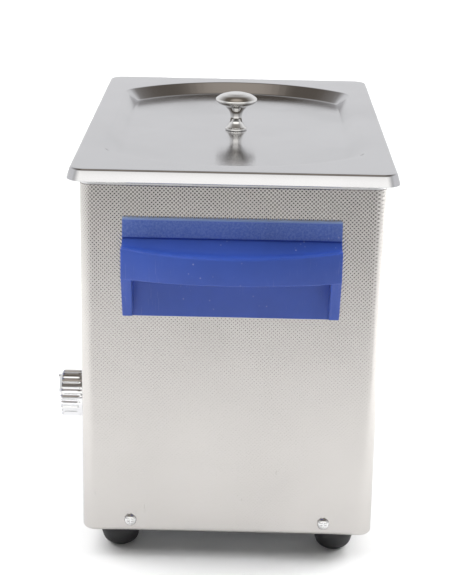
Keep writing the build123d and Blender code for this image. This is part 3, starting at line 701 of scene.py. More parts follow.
@dataclass(frozen=True)
class BoardFinish(Finish):
    """Circuit board with masked copper tracks.

    Attributes:
        name: Name of the finish.
        mask: Solder mask colour.
    """

    name: str
    mask: Colour

    def wire(self, w: Wiring, surface: bpy.types.Node) -> None:
        """Green mask, with tracks as a lighter brick-like pattern."""
        place = object_place(w)
        tracks = w.add("ShaderNodeTexBrick", {"Vector": place, "Scale": 90.0, "Mortar Size": 0.03})
        raised = w.maths("SUBTRACT", 1.0, tracks.outputs["Fac"])
        light = tuple(min(1.0, c * 1.8 + 0.02) for c in self.mask) + (1.0,)
        w.feed(surface.inputs["Base Color"], w.blend(raised, (*self.mask, 1.0), light))
        w.feed(surface.inputs["Roughness"], w.spread(w.noise(place, 40.0), 0.3, 0.7, 0.25, 0.4))
        bump = w.add("ShaderNodeBump", {"Strength": 0.6, "Distance": 0.04 * MM, "Height": raised})
        w.feed(surface.inputs["Normal"], bump.outputs[0])


@dataclass(frozen=True)
class FloorFinish(Finish):
    """Plain pale paper sweep.

    Attributes:
        name: Name of the finish.
        colour: Paper colour.
    """

    name: str
    colour: Colour

    def wire(self, w: Wiring, surface: bpy.types.Node) -> None:
        """Matt paper."""
        surface.inputs["Base Color"].default_value = (*self.colour, 1.0)
        surface.inputs["Roughness"].default_value = 0.9
        surface.inputs["Specular IOR Level"].default_value = 0.1


class Look:
    """The finishes of this machine."""

    casing = SteelFinish("linen_sheet", (0.56, 0.54, 0.52), rough=0.17, emboss=0.08, cloud=0.05)
    lid = SteelFinish("bright_lid", (0.63, 0.63, 0.64), rough=0.13, smudge=0.8, grain=0.0006)
    tank = SteelFinish("bright_tank", (0.76, 0.76, 0.77), rough=0.16, grain=0.001)
    wire = SteelFinish("polished_wire", (0.72, 0.72, 0.72), rough=0.16, grain=0.0)
    zinc = SteelFinish("zinc_plate", (0.56, 0.57, 0.58), rough=0.36)
    screw = SteelFinish("bright_screw", (0.78, 0.78, 0.78), rough=0.16, grain=0.0)
    chrome = SteelFinish("polished_chrome", (0.82, 0.815, 0.80), rough=0.05, smudge=0.4,
                         grain=0.0, cloud=0.02)
    dial = SteelFinish("silver_dial", (0.80, 0.80, 0.81), rough=0.13, smudge=0.5, grain=0.0,
                       cloud=0.02)
    brass = SteelFinish("plated_brass", (0.72, 0.55, 0.26), rough=0.24)
    aluminium = SteelFinish("machined_aluminium", (0.66, 0.67, 0.68), rough=0.34)
    oxide = SteelFinish("black_oxide", (0.10, 0.10, 0.11), rough=0.38)
    # The handle's band is paled as painted light and its upper edge as a painted highlight.
    handle = PlasticFinish("blue_moulding", (0.036, 0.090, 0.44), rough=0.42, grain=0.006, worn=0.5,
                           painted_band_light=0.13, painted_band_low=192.3, painted_highlight_low=201.3)
    rubber = PlasticFinish("black_rubber", (0.012, 0.012, 0.013), rough=0.55, grain=0.02)
    black = PlasticFinish("black_moulding", (0.016, 0.016, 0.018), rough=0.38)
    white = PlasticFinish("white_moulding", (0.62, 0.62, 0.60), rough=0.42)
    silicone = PlasticFinish("white_silicone", (0.70, 0.70, 0.68), rough=0.5)
    heater = PlasticFinish("heater_mat", (0.45, 0.12, 0.03), rough=0.5, grain=0.05)
    ceramic = PlasticFinish("fired_ceramic", (0.24, 0.20, 0.16), rough=0.6, grain=0.02)
    ferrite = PlasticFinish("ferrite", (0.035, 0.035, 0.04), rough=0.5, grain=0.02)
    winding = PlasticFinish("taped_winding", (0.48, 0.22, 0.05), rough=0.35)
    cable = PlasticFinish("vinyl_wire", (0.02, 0.02, 0.022), rough=0.35)
    print = PlasticFinish("printed_plate", (0.030, 0.075, 0.30), rough=0.26, grain=0.002, gloss=0.3)
    ink = PlasticFinish("white_ink", (0.80, 0.80, 0.80), rough=0.4, grain=0.0, worn=0.0)
    board = BoardFinish("masked_board", (0.015, 0.13, 0.045))
    red = LensFinish("red_plastic", (0.45, 0.012, 0.010), rough=0.16)
    green_lens = LensFinish("green_lens", (0.02, 0.34, 0.06))
    heating_lens = LensFinish("red_lens", (0.50, 0.02, 0.012))
    floor = FloorFinish("paper_sweep", (0.90, 0.90, 0.90))


# ------------------------------------------------------------------ geometry-node repeats
class Repeat:
    """A Geometry Nodes tree with named inputs, run once and kept as plain mesh."""

    def __init__(self, name: str) -> None:
        """Start a tree with a geometry input and output."""
        self.tree = bpy.data.node_groups.new(name, "GeometryNodeTree")
        face = self.tree.interface
        face.new_socket(name="Geometry", in_out="INPUT", socket_type="NodeSocketGeometry")
        face.new_socket(name="Geometry", in_out="OUTPUT", socket_type="NodeSocketGeometry")
        self.wiring = Wiring(self.tree)
        self.sockets: dict[str, str] = {}

    def input(self, label: str, kind: str = "Float") -> None:
        """Add a named input of a socket kind."""
        socket = self.tree.interface.new_socket(name=label, in_out="INPUT",
                                                socket_type=f"NodeSocket{kind}")
        self.sockets[label] = socket.identifier

    def start(self) -> dict[str, bpy.types.NodeSocket]:
        """Open the tree once its inputs are named, and return their sockets."""
        given = self.wiring.add("NodeGroupInput")
        return {socket.name: socket for socket in given.outputs if socket.name}

    def close(self, geometry: bpy.types.NodeSocket, finish: Finish) -> None:
        """End the tree in real, dressed mesh."""
        w = self.wiring
        real = w.add("GeometryNodeRealizeInstances", {0: geometry})
        dressed = w.add("GeometryNodeSetMaterial", {"Geometry": real.outputs[0]})
        dressed.inputs["Material"].default_value = finish.material()
        w.feed(w.add("NodeGroupOutput").inputs[0], dressed.outputs[0])

    def run(self, name: str, seeds: Sequence[Place], values: dict[str, object],
            facing: Sequence[Place] | None = None, smooth: float = 32.0) -> bpy.types.Object:
        """Run the tree on points and keep the result.

        Args:
            name: Name of the new piece.
            seeds: Points, in millimetres, that the tree receives.
            values: Its inputs, by label.
            facing: Optional direction for each point, as attribute "facing".
            smooth: Shading angle in degrees; it is not used.

        Returns:
            The plain piece.
        """
        mesh = bpy.data.meshes.new(name)
        mesh.from_pydata([Vector(p) * MM for p in seeds], [], [])
        if facing is not None:
            ways = mesh.attributes.new("facing", "FLOAT_VECTOR", "POINT")
            ways.data.foreach_set("vector", [c for way in facing for c in way])
        piece = bpy.data.objects.new(name, mesh)
        bpy.context.scene.collection.objects.link(piece)
        tool = piece.modifiers.new("repeat", "NODES")
        tool.node_group = self.tree
        for label, value in values.items():
            tool[self.sockets[label]] = value
        return settled(piece)


def template_repeat(finish: Finish) -> Repeat:
    """Tree that sets a template piece on every point, turned to face the point's way."""
    repeat = Repeat("template_on_points")
    repeat.input("Template", "Object")
    repeat.input("Size")
    given = repeat.start()
    w = repeat.wiring
    shape = w.add("GeometryNodeObjectInfo", {"Object": given["Template"]})
    way = w.add("GeometryNodeInputNamedAttribute", {"Name": "facing"}, data_type="FLOAT_VECTOR")
    turn = w.add("FunctionNodeAlignRotationToVector", {"Vector": way.outputs[0]}, axis="Z")
    points = w.add("GeometryNodeMeshToPoints", {0: given["Geometry"]})
    set_out = w.add("GeometryNodeInstanceOnPoints", {
        "Points": points.outputs[0], "Instance": shape.outputs["Geometry"],
        "Rotation": turn.outputs[0], "Scale": given["Size"]})
    repeat.close(set_out.outputs[0], finish)
    return repeat


class Way(Enum):
    """Directions that a fastener's head can face."""

    FRONT = (0.0, -1.0, 0.0)
    REAR = (0.0, 1.0, 0.0)
    RIGHT = (1.0, 0.0, 0.0)
    LEFT = (-1.0, 0.0, 0.0)


@dataclass
class PanScrews:
    """Cross-recess pan-head screws that share a head size.

    Attributes:
        head: Head radius.
        height: Head height.
        shank: Shank radius.
        length: Shank length.
    """

    head: float
    height: float
    shank: float
    length: float

    def template(self) -> bpy.types.Object:
        """One screw at the origin, head up, its seat at Z = 0."""
        h, r = self.height, self.head
        rise = [(0, h), (r * 0.35, h * 0.97), (r * 0.68, h * 0.82), (r * 0.9, h * 0.52),
                (r, h * 0.16), (r * 0.98, 0)]
        body = rise + [(self.shank, 0), (self.shank, -self.length), (0, -self.length)]
        screw = mesh_piece("screw_template", *turned(body, 40))
        arm, deep = r * 0.56, h * 0.55
        for low, high in (((-arm, -0.12 * r), (arm, 0.12 * r)), ((-0.12 * r, -arm), (0.12 * r, arm))):
            slot = mesh_piece("slot", *block((*low, h - deep), (*high, h + 1)))
            cut = screw.modifiers.new("cut", "BOOLEAN")
            cut.operation, cut.solver, cut.object = "DIFFERENCE", "EXACT", slot
            settled(screw)
            bpy.data.objects.remove(slot)
        return screw

    def set_out(self, name: str, places: Sequence[Place], ways: Sequence[Way], finish: Finish
                ) -> bpy.types.Object:
        """Set a screw at each place and keep them as one piece."""
        screw = self.template()
        tree = template_repeat(finish)
        piece = tree.run(name, places, {"Template": screw, "Size": 1.0},
                         facing=[way.value for way in ways])
        bpy.data.objects.remove(screw)
        return piece


def shown(piece: bpy.types.Object, body: str, slot: str, *nodes: str) -> bpy.types.Object:
    """Fix a finished piece to its body and hide the nodes it stands for."""
    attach(piece, body)
    if nodes:
        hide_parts(*nodes)
    LOG.info("%s: %d faces on %s", piece.name, len(piece.data.polygons), body)
    return piece


# ------------------------------------------------------------------ casing, tank and feet
@dataclass
class Casing:
    """Sheet casing, tank and bottom pan, with their fasteners.

    Attributes:
        half_length: Half of the casing's length.
        screw_y: Distance of the end screws from the middle.
        screw_z: Their height.
    """

    half_length: float = 132.5
    screw_y: float = 55.0
    screw_z: float = 23.5

    def build(self) -> None:
        """Dress the sheet parts and set out the end screws."""
        for node, finish in (("casing_shell", Look.casing), ("tank_basin", Look.tank),
                             ("base_pan", Look.zinc), ("rim_seal", Look.silicone)):
            finish.dress(frame["nodes"][node])
        places = [(side * self.half_length, y, self.screw_z)
                  for side in (-1, 1) for y in (-self.screw_y, self.screw_y)]
        ways = [Way.LEFT, Way.LEFT, Way.RIGHT, Way.RIGHT]
        screws = PanScrews(3.5, 2.4, 1.9, 6.0).set_out("casing_screw_heads", places, ways, Look.screw)
        shown(screws, "housing", "chrome", "casing_screws")


@dataclass
class Feet:
    """Domed rubber feet.

    Attributes:
        radius: Radius at the pan.
        bulge: Largest radius, under the casing.
        sole: Radius of the flat sole.
        height: Height to the pan.
    """

    radius: float = 10.5
    bulge: float = 11.6
    sole: float = 5.0
    height: float = 17.0

    def build(self) -> None:
        """Turn one dome for each foot node, with a small rim round its sole."""
        dome = rounded_line([(0, 0.5), (self.sole - 1.6, 0.5), (self.sole - 1.2, 0), (self.sole, 0),
                             (self.bulge - 1.9, 3.0), (self.bulge, 10.0), (self.bulge, 13.6),
                             (self.radius, 15.2), (self.radius, self.height),
                             (0, self.height)], [0.2, 0.2, 1.2, 6.0, 6.0, 1.0, 0.8, 0.3], 7)
        for end in ("front", "rear"):
            for side in ("left", "right"):
                node = f"foot_{end}_{side}"
                low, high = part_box(node)
                middle = (low + high) / 2 / MM
                part = placed(turned(dome, 56), Axis.UP, (middle.x, middle.y, 0))
                piece = Look.rubber.dress(mesh_piece(f"rubber_{node}", *part))
                shown(piece, "housing", "black_rubber", node)
        for node in ("foot_studs", "foot_nuts"):
            Look.zinc.dress(frame["nodes"][node])


# ------------------------------------------------------------------ lid
@dataclass
class Lid:
    """Pressed lid with a sunk middle, and its mushroom knob.

    Attributes:
        outer: Plan outline of the lip's lowest edge.
        recess: Plan outline of the sunk middle at the margin.
        low: Height of the lip's edge.
        top: Height of the margin.
        depth: Depth of the sunk middle.
        slope: Run of its sloped wall.
        thick: Sheet thickness.
    """

    outer: RoundedRectangle = RoundedRectangle(139.4, 89.4, 10.0)
    recess: BowedOutline = BowedOutline(73.5, 96.0, 26.5, 18.0)
    low: float = 222.7
    top: float = 229.3
    depth: float = 6.5
    slope: float = 8.0
    thick: float = 1.0

    def pan(self) -> bpy.types.Object:
        """Lid sheet as one closed skin: sunk floor, slope, margin, lip, hem and underside."""
        angles = shared_angles(self.outer, self.recess)
        floor, top, t = self.top - self.depth, self.top, self.thick
        tub = rounded_line([(13, floor), (self.slope, floor), (0, top), (-4, top)], [3.2, 2.0], 8)
        lip = rounded_line([(7, top), (2.1, top), (0, self.low + 0.3), (0.25, self.low),
                            (1.0, self.low), (3.1, top - t), (7, top - t)],
                           [1.5, 0.1, 0.1, 0.3, 1.0], 6)
        under = rounded_line([(-4, top - t), (0.9, top - t), (self.slope + 0.9, floor - t),
                              (13, floor - t)], [1.0, 2.2], 6)
        middle = outline_loop(self.recess, 13, floor, angles)

        def inwards(level: float) -> list[list[Place]]:
            """Loops from the screw hole out to the floor's edge."""
            loops = [ring_loop(radius, level, angles) for radius in (2.2, 7.5, 14.0)]
            for share in (0.35, 0.7):
                loops.append([((1 - share) * 14 * cos(a) + share * p[0],
                               (1 - share) * 14 * sin(a) + share * p[1], level)
                              for a, p in zip(angles, middle)])
            return loops

        loops = inwards(floor)
        loops += [outline_loop(self.recess, s, z, angles) for s, z in tub]
        loops += [outline_loop(self.outer, s, z, angles) for s, z in lip]
        loops += [outline_loop(self.recess, s, z, angles) for s, z in under]
        loops += inwards(floor - t)[::-1]
        points, faces = loft(loops, closed=True)
        return mesh_piece("lid_sheet", points, faces, smooth=40)

    def knob(self) -> bpy.types.Object:
        """Polished mushroom knob: foot, waisted neck, rolled rim and domed cap."""
        foot = rounded_line([(2.1, 0), (6.6, 0), (6.6, 1.2), (5.6, 1.9), (3.9, 4.6), (3.4, 8.0),
                             (4.2, 11.6), (7.4, 14.8), (11.4, 16.6), (12.75, 17.9), (12.5, 19.4),
                             (9.6, 21.4), (5.0, 22.7), (0, 23.0)],
                            [0.5, 0.7, 0.8, 4, 6, 6, 6, 4, 1.2, 1.6, 8, 12, 0], 6)
        whole = [(0, 0)] + foot
        part = placed(turned(whole, 96), Axis.UP, (0, 0, self.top - self.depth))
        return mesh_piece("lid_knob_turned", *part, smooth=50)

    def build(self) -> None:
        """Make and dress the lid's pieces."""
        shown(Look.lid.dress(self.pan()), "lid", "lid_steel", "lid_pan")
        shown(Look.chrome.dress(self.knob()), "lid", "chrome", "lid_knob")
        Look.zinc.dress(frame["nodes"]["lid_knob_screw"])


# ------------------------------------------------------------------ handles
@dataclass
class Handle:
    """Moulded end handle with a bowed bar over a finger pocket.

    Attributes:
        end: Casing end that it stands on.
        half: Half of its width.
        low: Height of its lower edge.
        top: Height of its upper edge.
        band: Height of the top band's lower edge.
        proud: Thickness of the top band at its lower edge.
        lean: How much thinner it is at its upper edge.
        back: Thickness of the back plate.
        bar_low: Lower edge of the bar.
        bar_top: Upper edge of the bar at its ends.
        sag: How much lower the bar's upper edge is in the middle.
        reach_end: How far the bar stands out at its ends.
        reach_mid: The same in the middle.
        wall: Thickness of the bar.
        leg: Width of each side leg.
    """

    end: float = 132.5
    half: float = 59.0
    low: float = 147.3
    top: float = 202.1
    band: float = 192.3
    proud: float = 4.2
    lean: float = 1.5
    back: float = 2.5
    bar_low: float = 171.6
    bar_top: float = 189.5
    sag: float = 2.6
    reach_end: float = 15.0
    reach_mid: float = 23.98
    wall: float = 3.5
    leg: float = 5.7

    def reach(self, y: float) -> float:
        """How far the bar stands out at a place across it."""
        return self.reach_mid - (self.reach_mid - self.reach_end) * (y / self.half) ** 2

    def section(self, y: float) -> list[Point]:
        """Closed section at a place across the handle, as (distance out, height)."""
        out = self.reach(y)
        crest = self.bar_top - self.sag * (1 - (y / self.half) ** 2)
        dip = (out - self.proud) * 0.45 + self.proud
        line = [(0, self.top), (self.proud - self.lean, self.top), (self.proud, self.band),
                (self.proud - 0.9, self.band - 0.9), (dip, crest - 1.4), (out, crest),
                (out, self.bar_low), (out - self.wall, self.bar_low),
                (out - self.wall, crest - 4.2), (self.back, self.band - 7.0),
                (self.back, self.low), (0, self.low)]
        return rounded_line(line, [1.1, 0.5, 0.3, 9.0, 1.3, 1.1, 0.7, 2.0, 2.0, 0.6], 5)

    def shell(self) -> bpy.types.Object:
        """Band, trough, bar and back plate, skinned across the handle."""
        count = 60
        loops = []
        for i in range(count + 1):
            y = -self.half + 2 * self.half * i / count
            loops.append([(self.end + w, y, z) for w, z in self.section(y)])
        return mesh_piece("handle_shell", *loft(loops))

    def legs(self) -> list[bpy.types.Object]:
        """Tapered side walls of the finger pocket, and the two screw bosses."""
        inner = self.half - self.leg
        parts = []
        for side in (-1, 1):
            loops = []
            for y in (inner, self.half - 0.02):
                out = self.reach(self.half) - 0.25
                line = [(0.2, self.low + 0.02), (self.back + 0.9, self.low + 0.02),
                        (out, self.bar_low + 0.6), (out, self.bar_top - 3.5),
                        (0.2, self.bar_top - 3.5)]
                loops.append([(self.end + w, side * y, z) for w, z in line])
            leg = mesh_piece("leg", *loft(loops))
            parts.append(bevelled(leg, 0.5, 3))
            boss = turned([(0, 0), (4.0, 0), (4.0, 9.2), (3.4, 9.8), (0, 9.8)], 32)
            parts.append(mesh_piece("boss", *placed(boss, Axis.RIGHT,
                                                    (self.end + 2.0, side * 48.0, 181.0))))
        return parts

    def build(self, side: int, node: str) -> None:
        """Make the handle on one end.

        Args:
            side: 1 for the right end, -1 for the left one.
            node: CAD node that it stands for.
        """
        grip = united(self.shell(), *self.legs())
        bevelled(grip, 0.35, 3, 55)
        if side < 0:
            grip.data.transform(Matrix.Rotation(pi, 4, "Z"))
        smoothed(grip, 35)
        grip.name = f"moulded_{node}"
        grip.data.materials.clear()
        shown(Look.handle.dress(grip), "housing", "blue_plastic", node)


# ------------------------------------------------------------------ control side
@dataclass
class Dial:
    """Fluted dial with a raised pointer.

    Attributes:
        x: Place along the control side.
        z: Height of its axis.
        back: Y of its rear face.
        radius: Outer radius.
        length: How far it stands out from its rear face.
        flutes: Number of flutes.
        depth: Depth of a flute.
    """

    x: float
    z: float = 77.6
    back: float = -85.2
    radius: float = 13.6
    length: float = 15.1
    flutes: int = 24
    depth: float = 0.75

    def fluted(self, angle: float, radius: float, height: float) -> float:
        """Radius at an angle, with flutes between the collar and the chamfer."""
        start, end = 2.4, self.length - 1.2
        share = min(max((height - start) / 0.8, 0.0), 1.0) * min(max((end - height) / 0.5, 0.0), 1.0)
        wave = max(0.0, cos(self.flutes * angle)) ** 0.7
        return radius - self.depth * wave * share if radius > 0.8 * self.radius else radius

    def build(self, name: str, body: str, node: str) -> None:
        """Make the dial and stand it on its shaft."""
        r, n = self.radius, self.length
        side = [(r, 2.4 + (n - 4.0) * i / 10) for i in range(11)]
        line = [(0, 0), (r - 0.7, 0), (r, 0.7)] + side + [(r, n - 1.5)]
        line += rounded_line([(r, n - 1.4), (r - 1.5, n - 0.1), (r - 3.0, n - 0.1),
                              (r - 3.6, n - 0.6), (0, n - 0.6)], [0.5, 0.4, 0.5], 4)[1:]
        part = turned(line, self.flutes * 10, self.fluted)
        knob = mesh_piece(name, *placed(part, Axis.FRONT, (self.x, self.back, self.z)), smooth=38)
        bar = mesh_piece("pointer", *block(
            (self.x - 1.47, self.back - n - 1.57, self.z - 2.03),
            (self.x + 1.47, self.back - n + 1.23, self.z + r - 2.27)))
        bevelled(bar, 0.5, 3)
        knob = joined(knob, bar)
        knob.name = name
        knob.data.materials.clear()
        shown(Look.dial.dress(knob), body, "dial_silver", node)


@dataclass
class DialScale:
    """Printed ring of ticks and numbers round a dial.

    Attributes:
        x: Place along the control side.
        z: Height of its centre.
        sweep: Angle in degrees that the scale covers, clockwise from the top.
        ticks: Number of ticks.
        labels: Numbers printed round it.
        inner: Radius where ticks start.
        face: Y of the printed plate's face.
    """

    x: float
    sweep: float
    ticks: int
    labels: tuple[str, ...]
    z: float = 77.6
    inner: float = 16.0
    face: float = -83.1

    def way(self, share: float) -> Vector:
        """Direction in the plate's plane at a share of the sweep."""
        angle = radians(self.sweep) * share
        return Vector((sin(angle), 0, cos(angle)))

    def build(self, name: str) -> None:
        """Set out the ticks by node tree, and the numbers as flat type."""
        long, short = 3.0, 1.8
        tick = mesh_piece("tick", *block((-0.22, -0.04, 0), (0.22, 0.04, 1)))
        tick.data.transform(Matrix.Diagonal((1, 1, long, 1)))
        shares = [i / (self.ticks - 1) for i in range(self.ticks)]
        places = [Vector((self.x, self.face - 0.04, self.z)) + self.way(s) * self.inner
                  for s in shares]
        tree = template_repeat(Look.ink)
        marks = tree.run(name + "_ticks", [tuple(p) for p in places],
                         {"Template": tick, "Size": short / long},
                         facing=[tuple(self.way(s)) for s in shares])
        bpy.data.objects.remove(tick)
        shown(marks, "housing", "overlay_print")
        for i, label in enumerate(self.labels):
            spot = self.way(i / (len(self.labels) - 1)) * (self.inner + 6.2)
            number = flat_type(f"{name}_number_{i}", label, 4.2,
                               (self.x + spot.x, self.face, self.z + spot.z))
            shown(number, "housing", "overlay_print")


def flat_type(name: str, words: str, size: float, at: Place) -> bpy.types.Object:
    """Thin raised type on the control side, centred at a place.

    Args:
        name: Name of the piece.
        words: What it says.
        size: Letter size.
        at: Centre of its base.

    Returns:
        The type as plain mesh.
    """
    curve = bpy.data.curves.new(name, "FONT")
    curve.body, curve.size, curve.extrude = words, size * MM, 0.05 * MM
    curve.align_x, curve.align_y = "CENTER", "CENTER"
    piece = bpy.data.objects.new(name, curve)
    bpy.context.scene.collection.objects.link(piece)
    mesh = bpy.data.meshes.new_from_object(piece.evaluated_get(bpy.context.evaluated_depsgraph_get()))
    bpy.data.objects.remove(piece)
    turn = Matrix.Translation(Vector(at) * MM) @ Matrix.Rotation(pi / 2, 4, "X")
    mesh.transform(turn)
    made = bpy.data.objects.new(name, mesh)
    bpy.context.scene.collection.objects.link(made)
    made.data.materials.clear()
    return smoothed(Look.ink.dress(made))


@dataclass
class Controls:
    """Printed plate, dials, rocker switch and lamps on the control side.

    Attributes:
        dial_x: Distance of each dial from the middle.
        axis_z: Height of the dials and the switch.
        lamp_x: Distance of each lamp from the middle.
        lamp_z: Height of the lamps.
        face: Y of the printed plate's face.
    """

    dial_x: float = 75.0
    axis_z: float = 77.6
    lamp_x: float = 12.0
    lamp_z: float = 118.0
    face: float = -83.1

    def rocker(self) -> bpy.types.Object:
        """Rocker key: dished face, rounded edges and pivot pins, tilted to off."""
        high, deep, half = 8.6, 2.4, 12.9
        front = [(deep + 2.2 - 2.2 * cos(pi / 2 * (1 - abs(b))), b * high)
                 for b in [i / 8 - 1 for i in range(17)]]
        line = front + [(-3.5, high), (-5.5, 0), (-3.5, -high)]
        loops = [[(x, -w, b) for w, b in line] for x in (-half, half)]
        key = bevelled(mesh_piece("rocker_key", *loft(loops)), 0.7, 4, 50)
        pin = turned([(0, -14), (1.45, -14), (1.45, 14), (0, 14)], 24)
        key = united(key, mesh_piece("pin", *placed(pin, Axis.RIGHT, (0, 0, 0))))
        turn = Matrix.Rotation(radians(-8), 4, "X")
        key.data.transform(Matrix.Translation(Vector((0, -81.9, self.axis_z)) * MM) @ turn)
        key.data.materials.clear()
        return Look.red.dress(smoothed(key))

    def lamps(self) -> None:
        """Chromed bezels and domed lenses."""
        rim = rounded_line([(2.95, 1.0), (2.95, 1.6), (4.3, 1.6), (5.2, 0.8), (5.2, 0), (3.9, 0),
                            (3.9, -14.6), (2.95, -14.6), (2.95, 1.0)],
                           [0.25, 0.6, 0.4, 0, 0, 0, 0], 5)
        loops = []
        for side in (-1, 1):
            part = turned(rim, 48)
            loops.append(placed(part, Axis.FRONT, (side * self.lamp_x, self.face, self.lamp_z)))
        bezels = Look.chrome.dress(mesh_piece("lamp_rims", *merged(*loops)))
        shown(bezels, "housing", "chrome", "lamp_bezels")
        dome = rounded_line([(0, -2), (2.88, -2), (2.88, 1.9), (1.6, 3.3), (0, 3.4)],
                            [0, 1.2, 1.8], 6)
        for side, node, finish, slot in ((-1, "power_lamp_lens", Look.green_lens, "lens_green"),
                                         (1, "heating_lamp_lens", Look.heating_lens, "lens_red")):
            part = placed(turned(dome, 40), Axis.FRONT, (side * self.lamp_x, self.face, self.lamp_z))
            lens = finish.dress(mesh_piece(f"domed_{node}", *part, smooth=50))
            shown(lens, "housing", slot, node)

    def build(self) -> None:
        """Make and dress everything on the control side."""
        nodes = frame["nodes"]
        Look.print.dress(nodes["control_overlay"])
        Dial(self.dial_x).build("timer_dial_fluted", "timer_dial", "timer_knob")
        Dial(-self.dial_x).build("temperature_dial_fluted", "temperature_dial", "temperature_knob")
        DialScale(self.dial_x, 300, 31, ("0", "5", "10", "15", "20", "25", "30")).build("timer_scale")
        DialScale(-self.dial_x, 270, 28, ("0", "20", "40", "60", "80")).build("temperature_scale")
        shown(self.rocker(), "rocker", "rocker_red", "power_rocker")
        self.lamps()
        places = [(side * self.dial_x + dx, self.face, self.axis_z)
                  for side in (-1, 1) for dx in (-9.5, 9.5)]
        fixings = PanScrews(2.7, 1.6, 1.45, 8.0).set_out("dial_unit_screws", places,
                                                        [Way.FRONT] * 4, Look.zinc)
        shown(fixings, "housing", "zinc_steel", "dial_fixing_screws")
        for node, finish in (("timer_case", Look.white), ("thermostat_case", Look.white),
                             ("timer_shaft", Look.zinc), ("thermostat_shaft", Look.zinc),
                             ("switch_housing", Look.black), ("thermostat_capillary", Look.brass)):
            finish.dress(nodes[node])


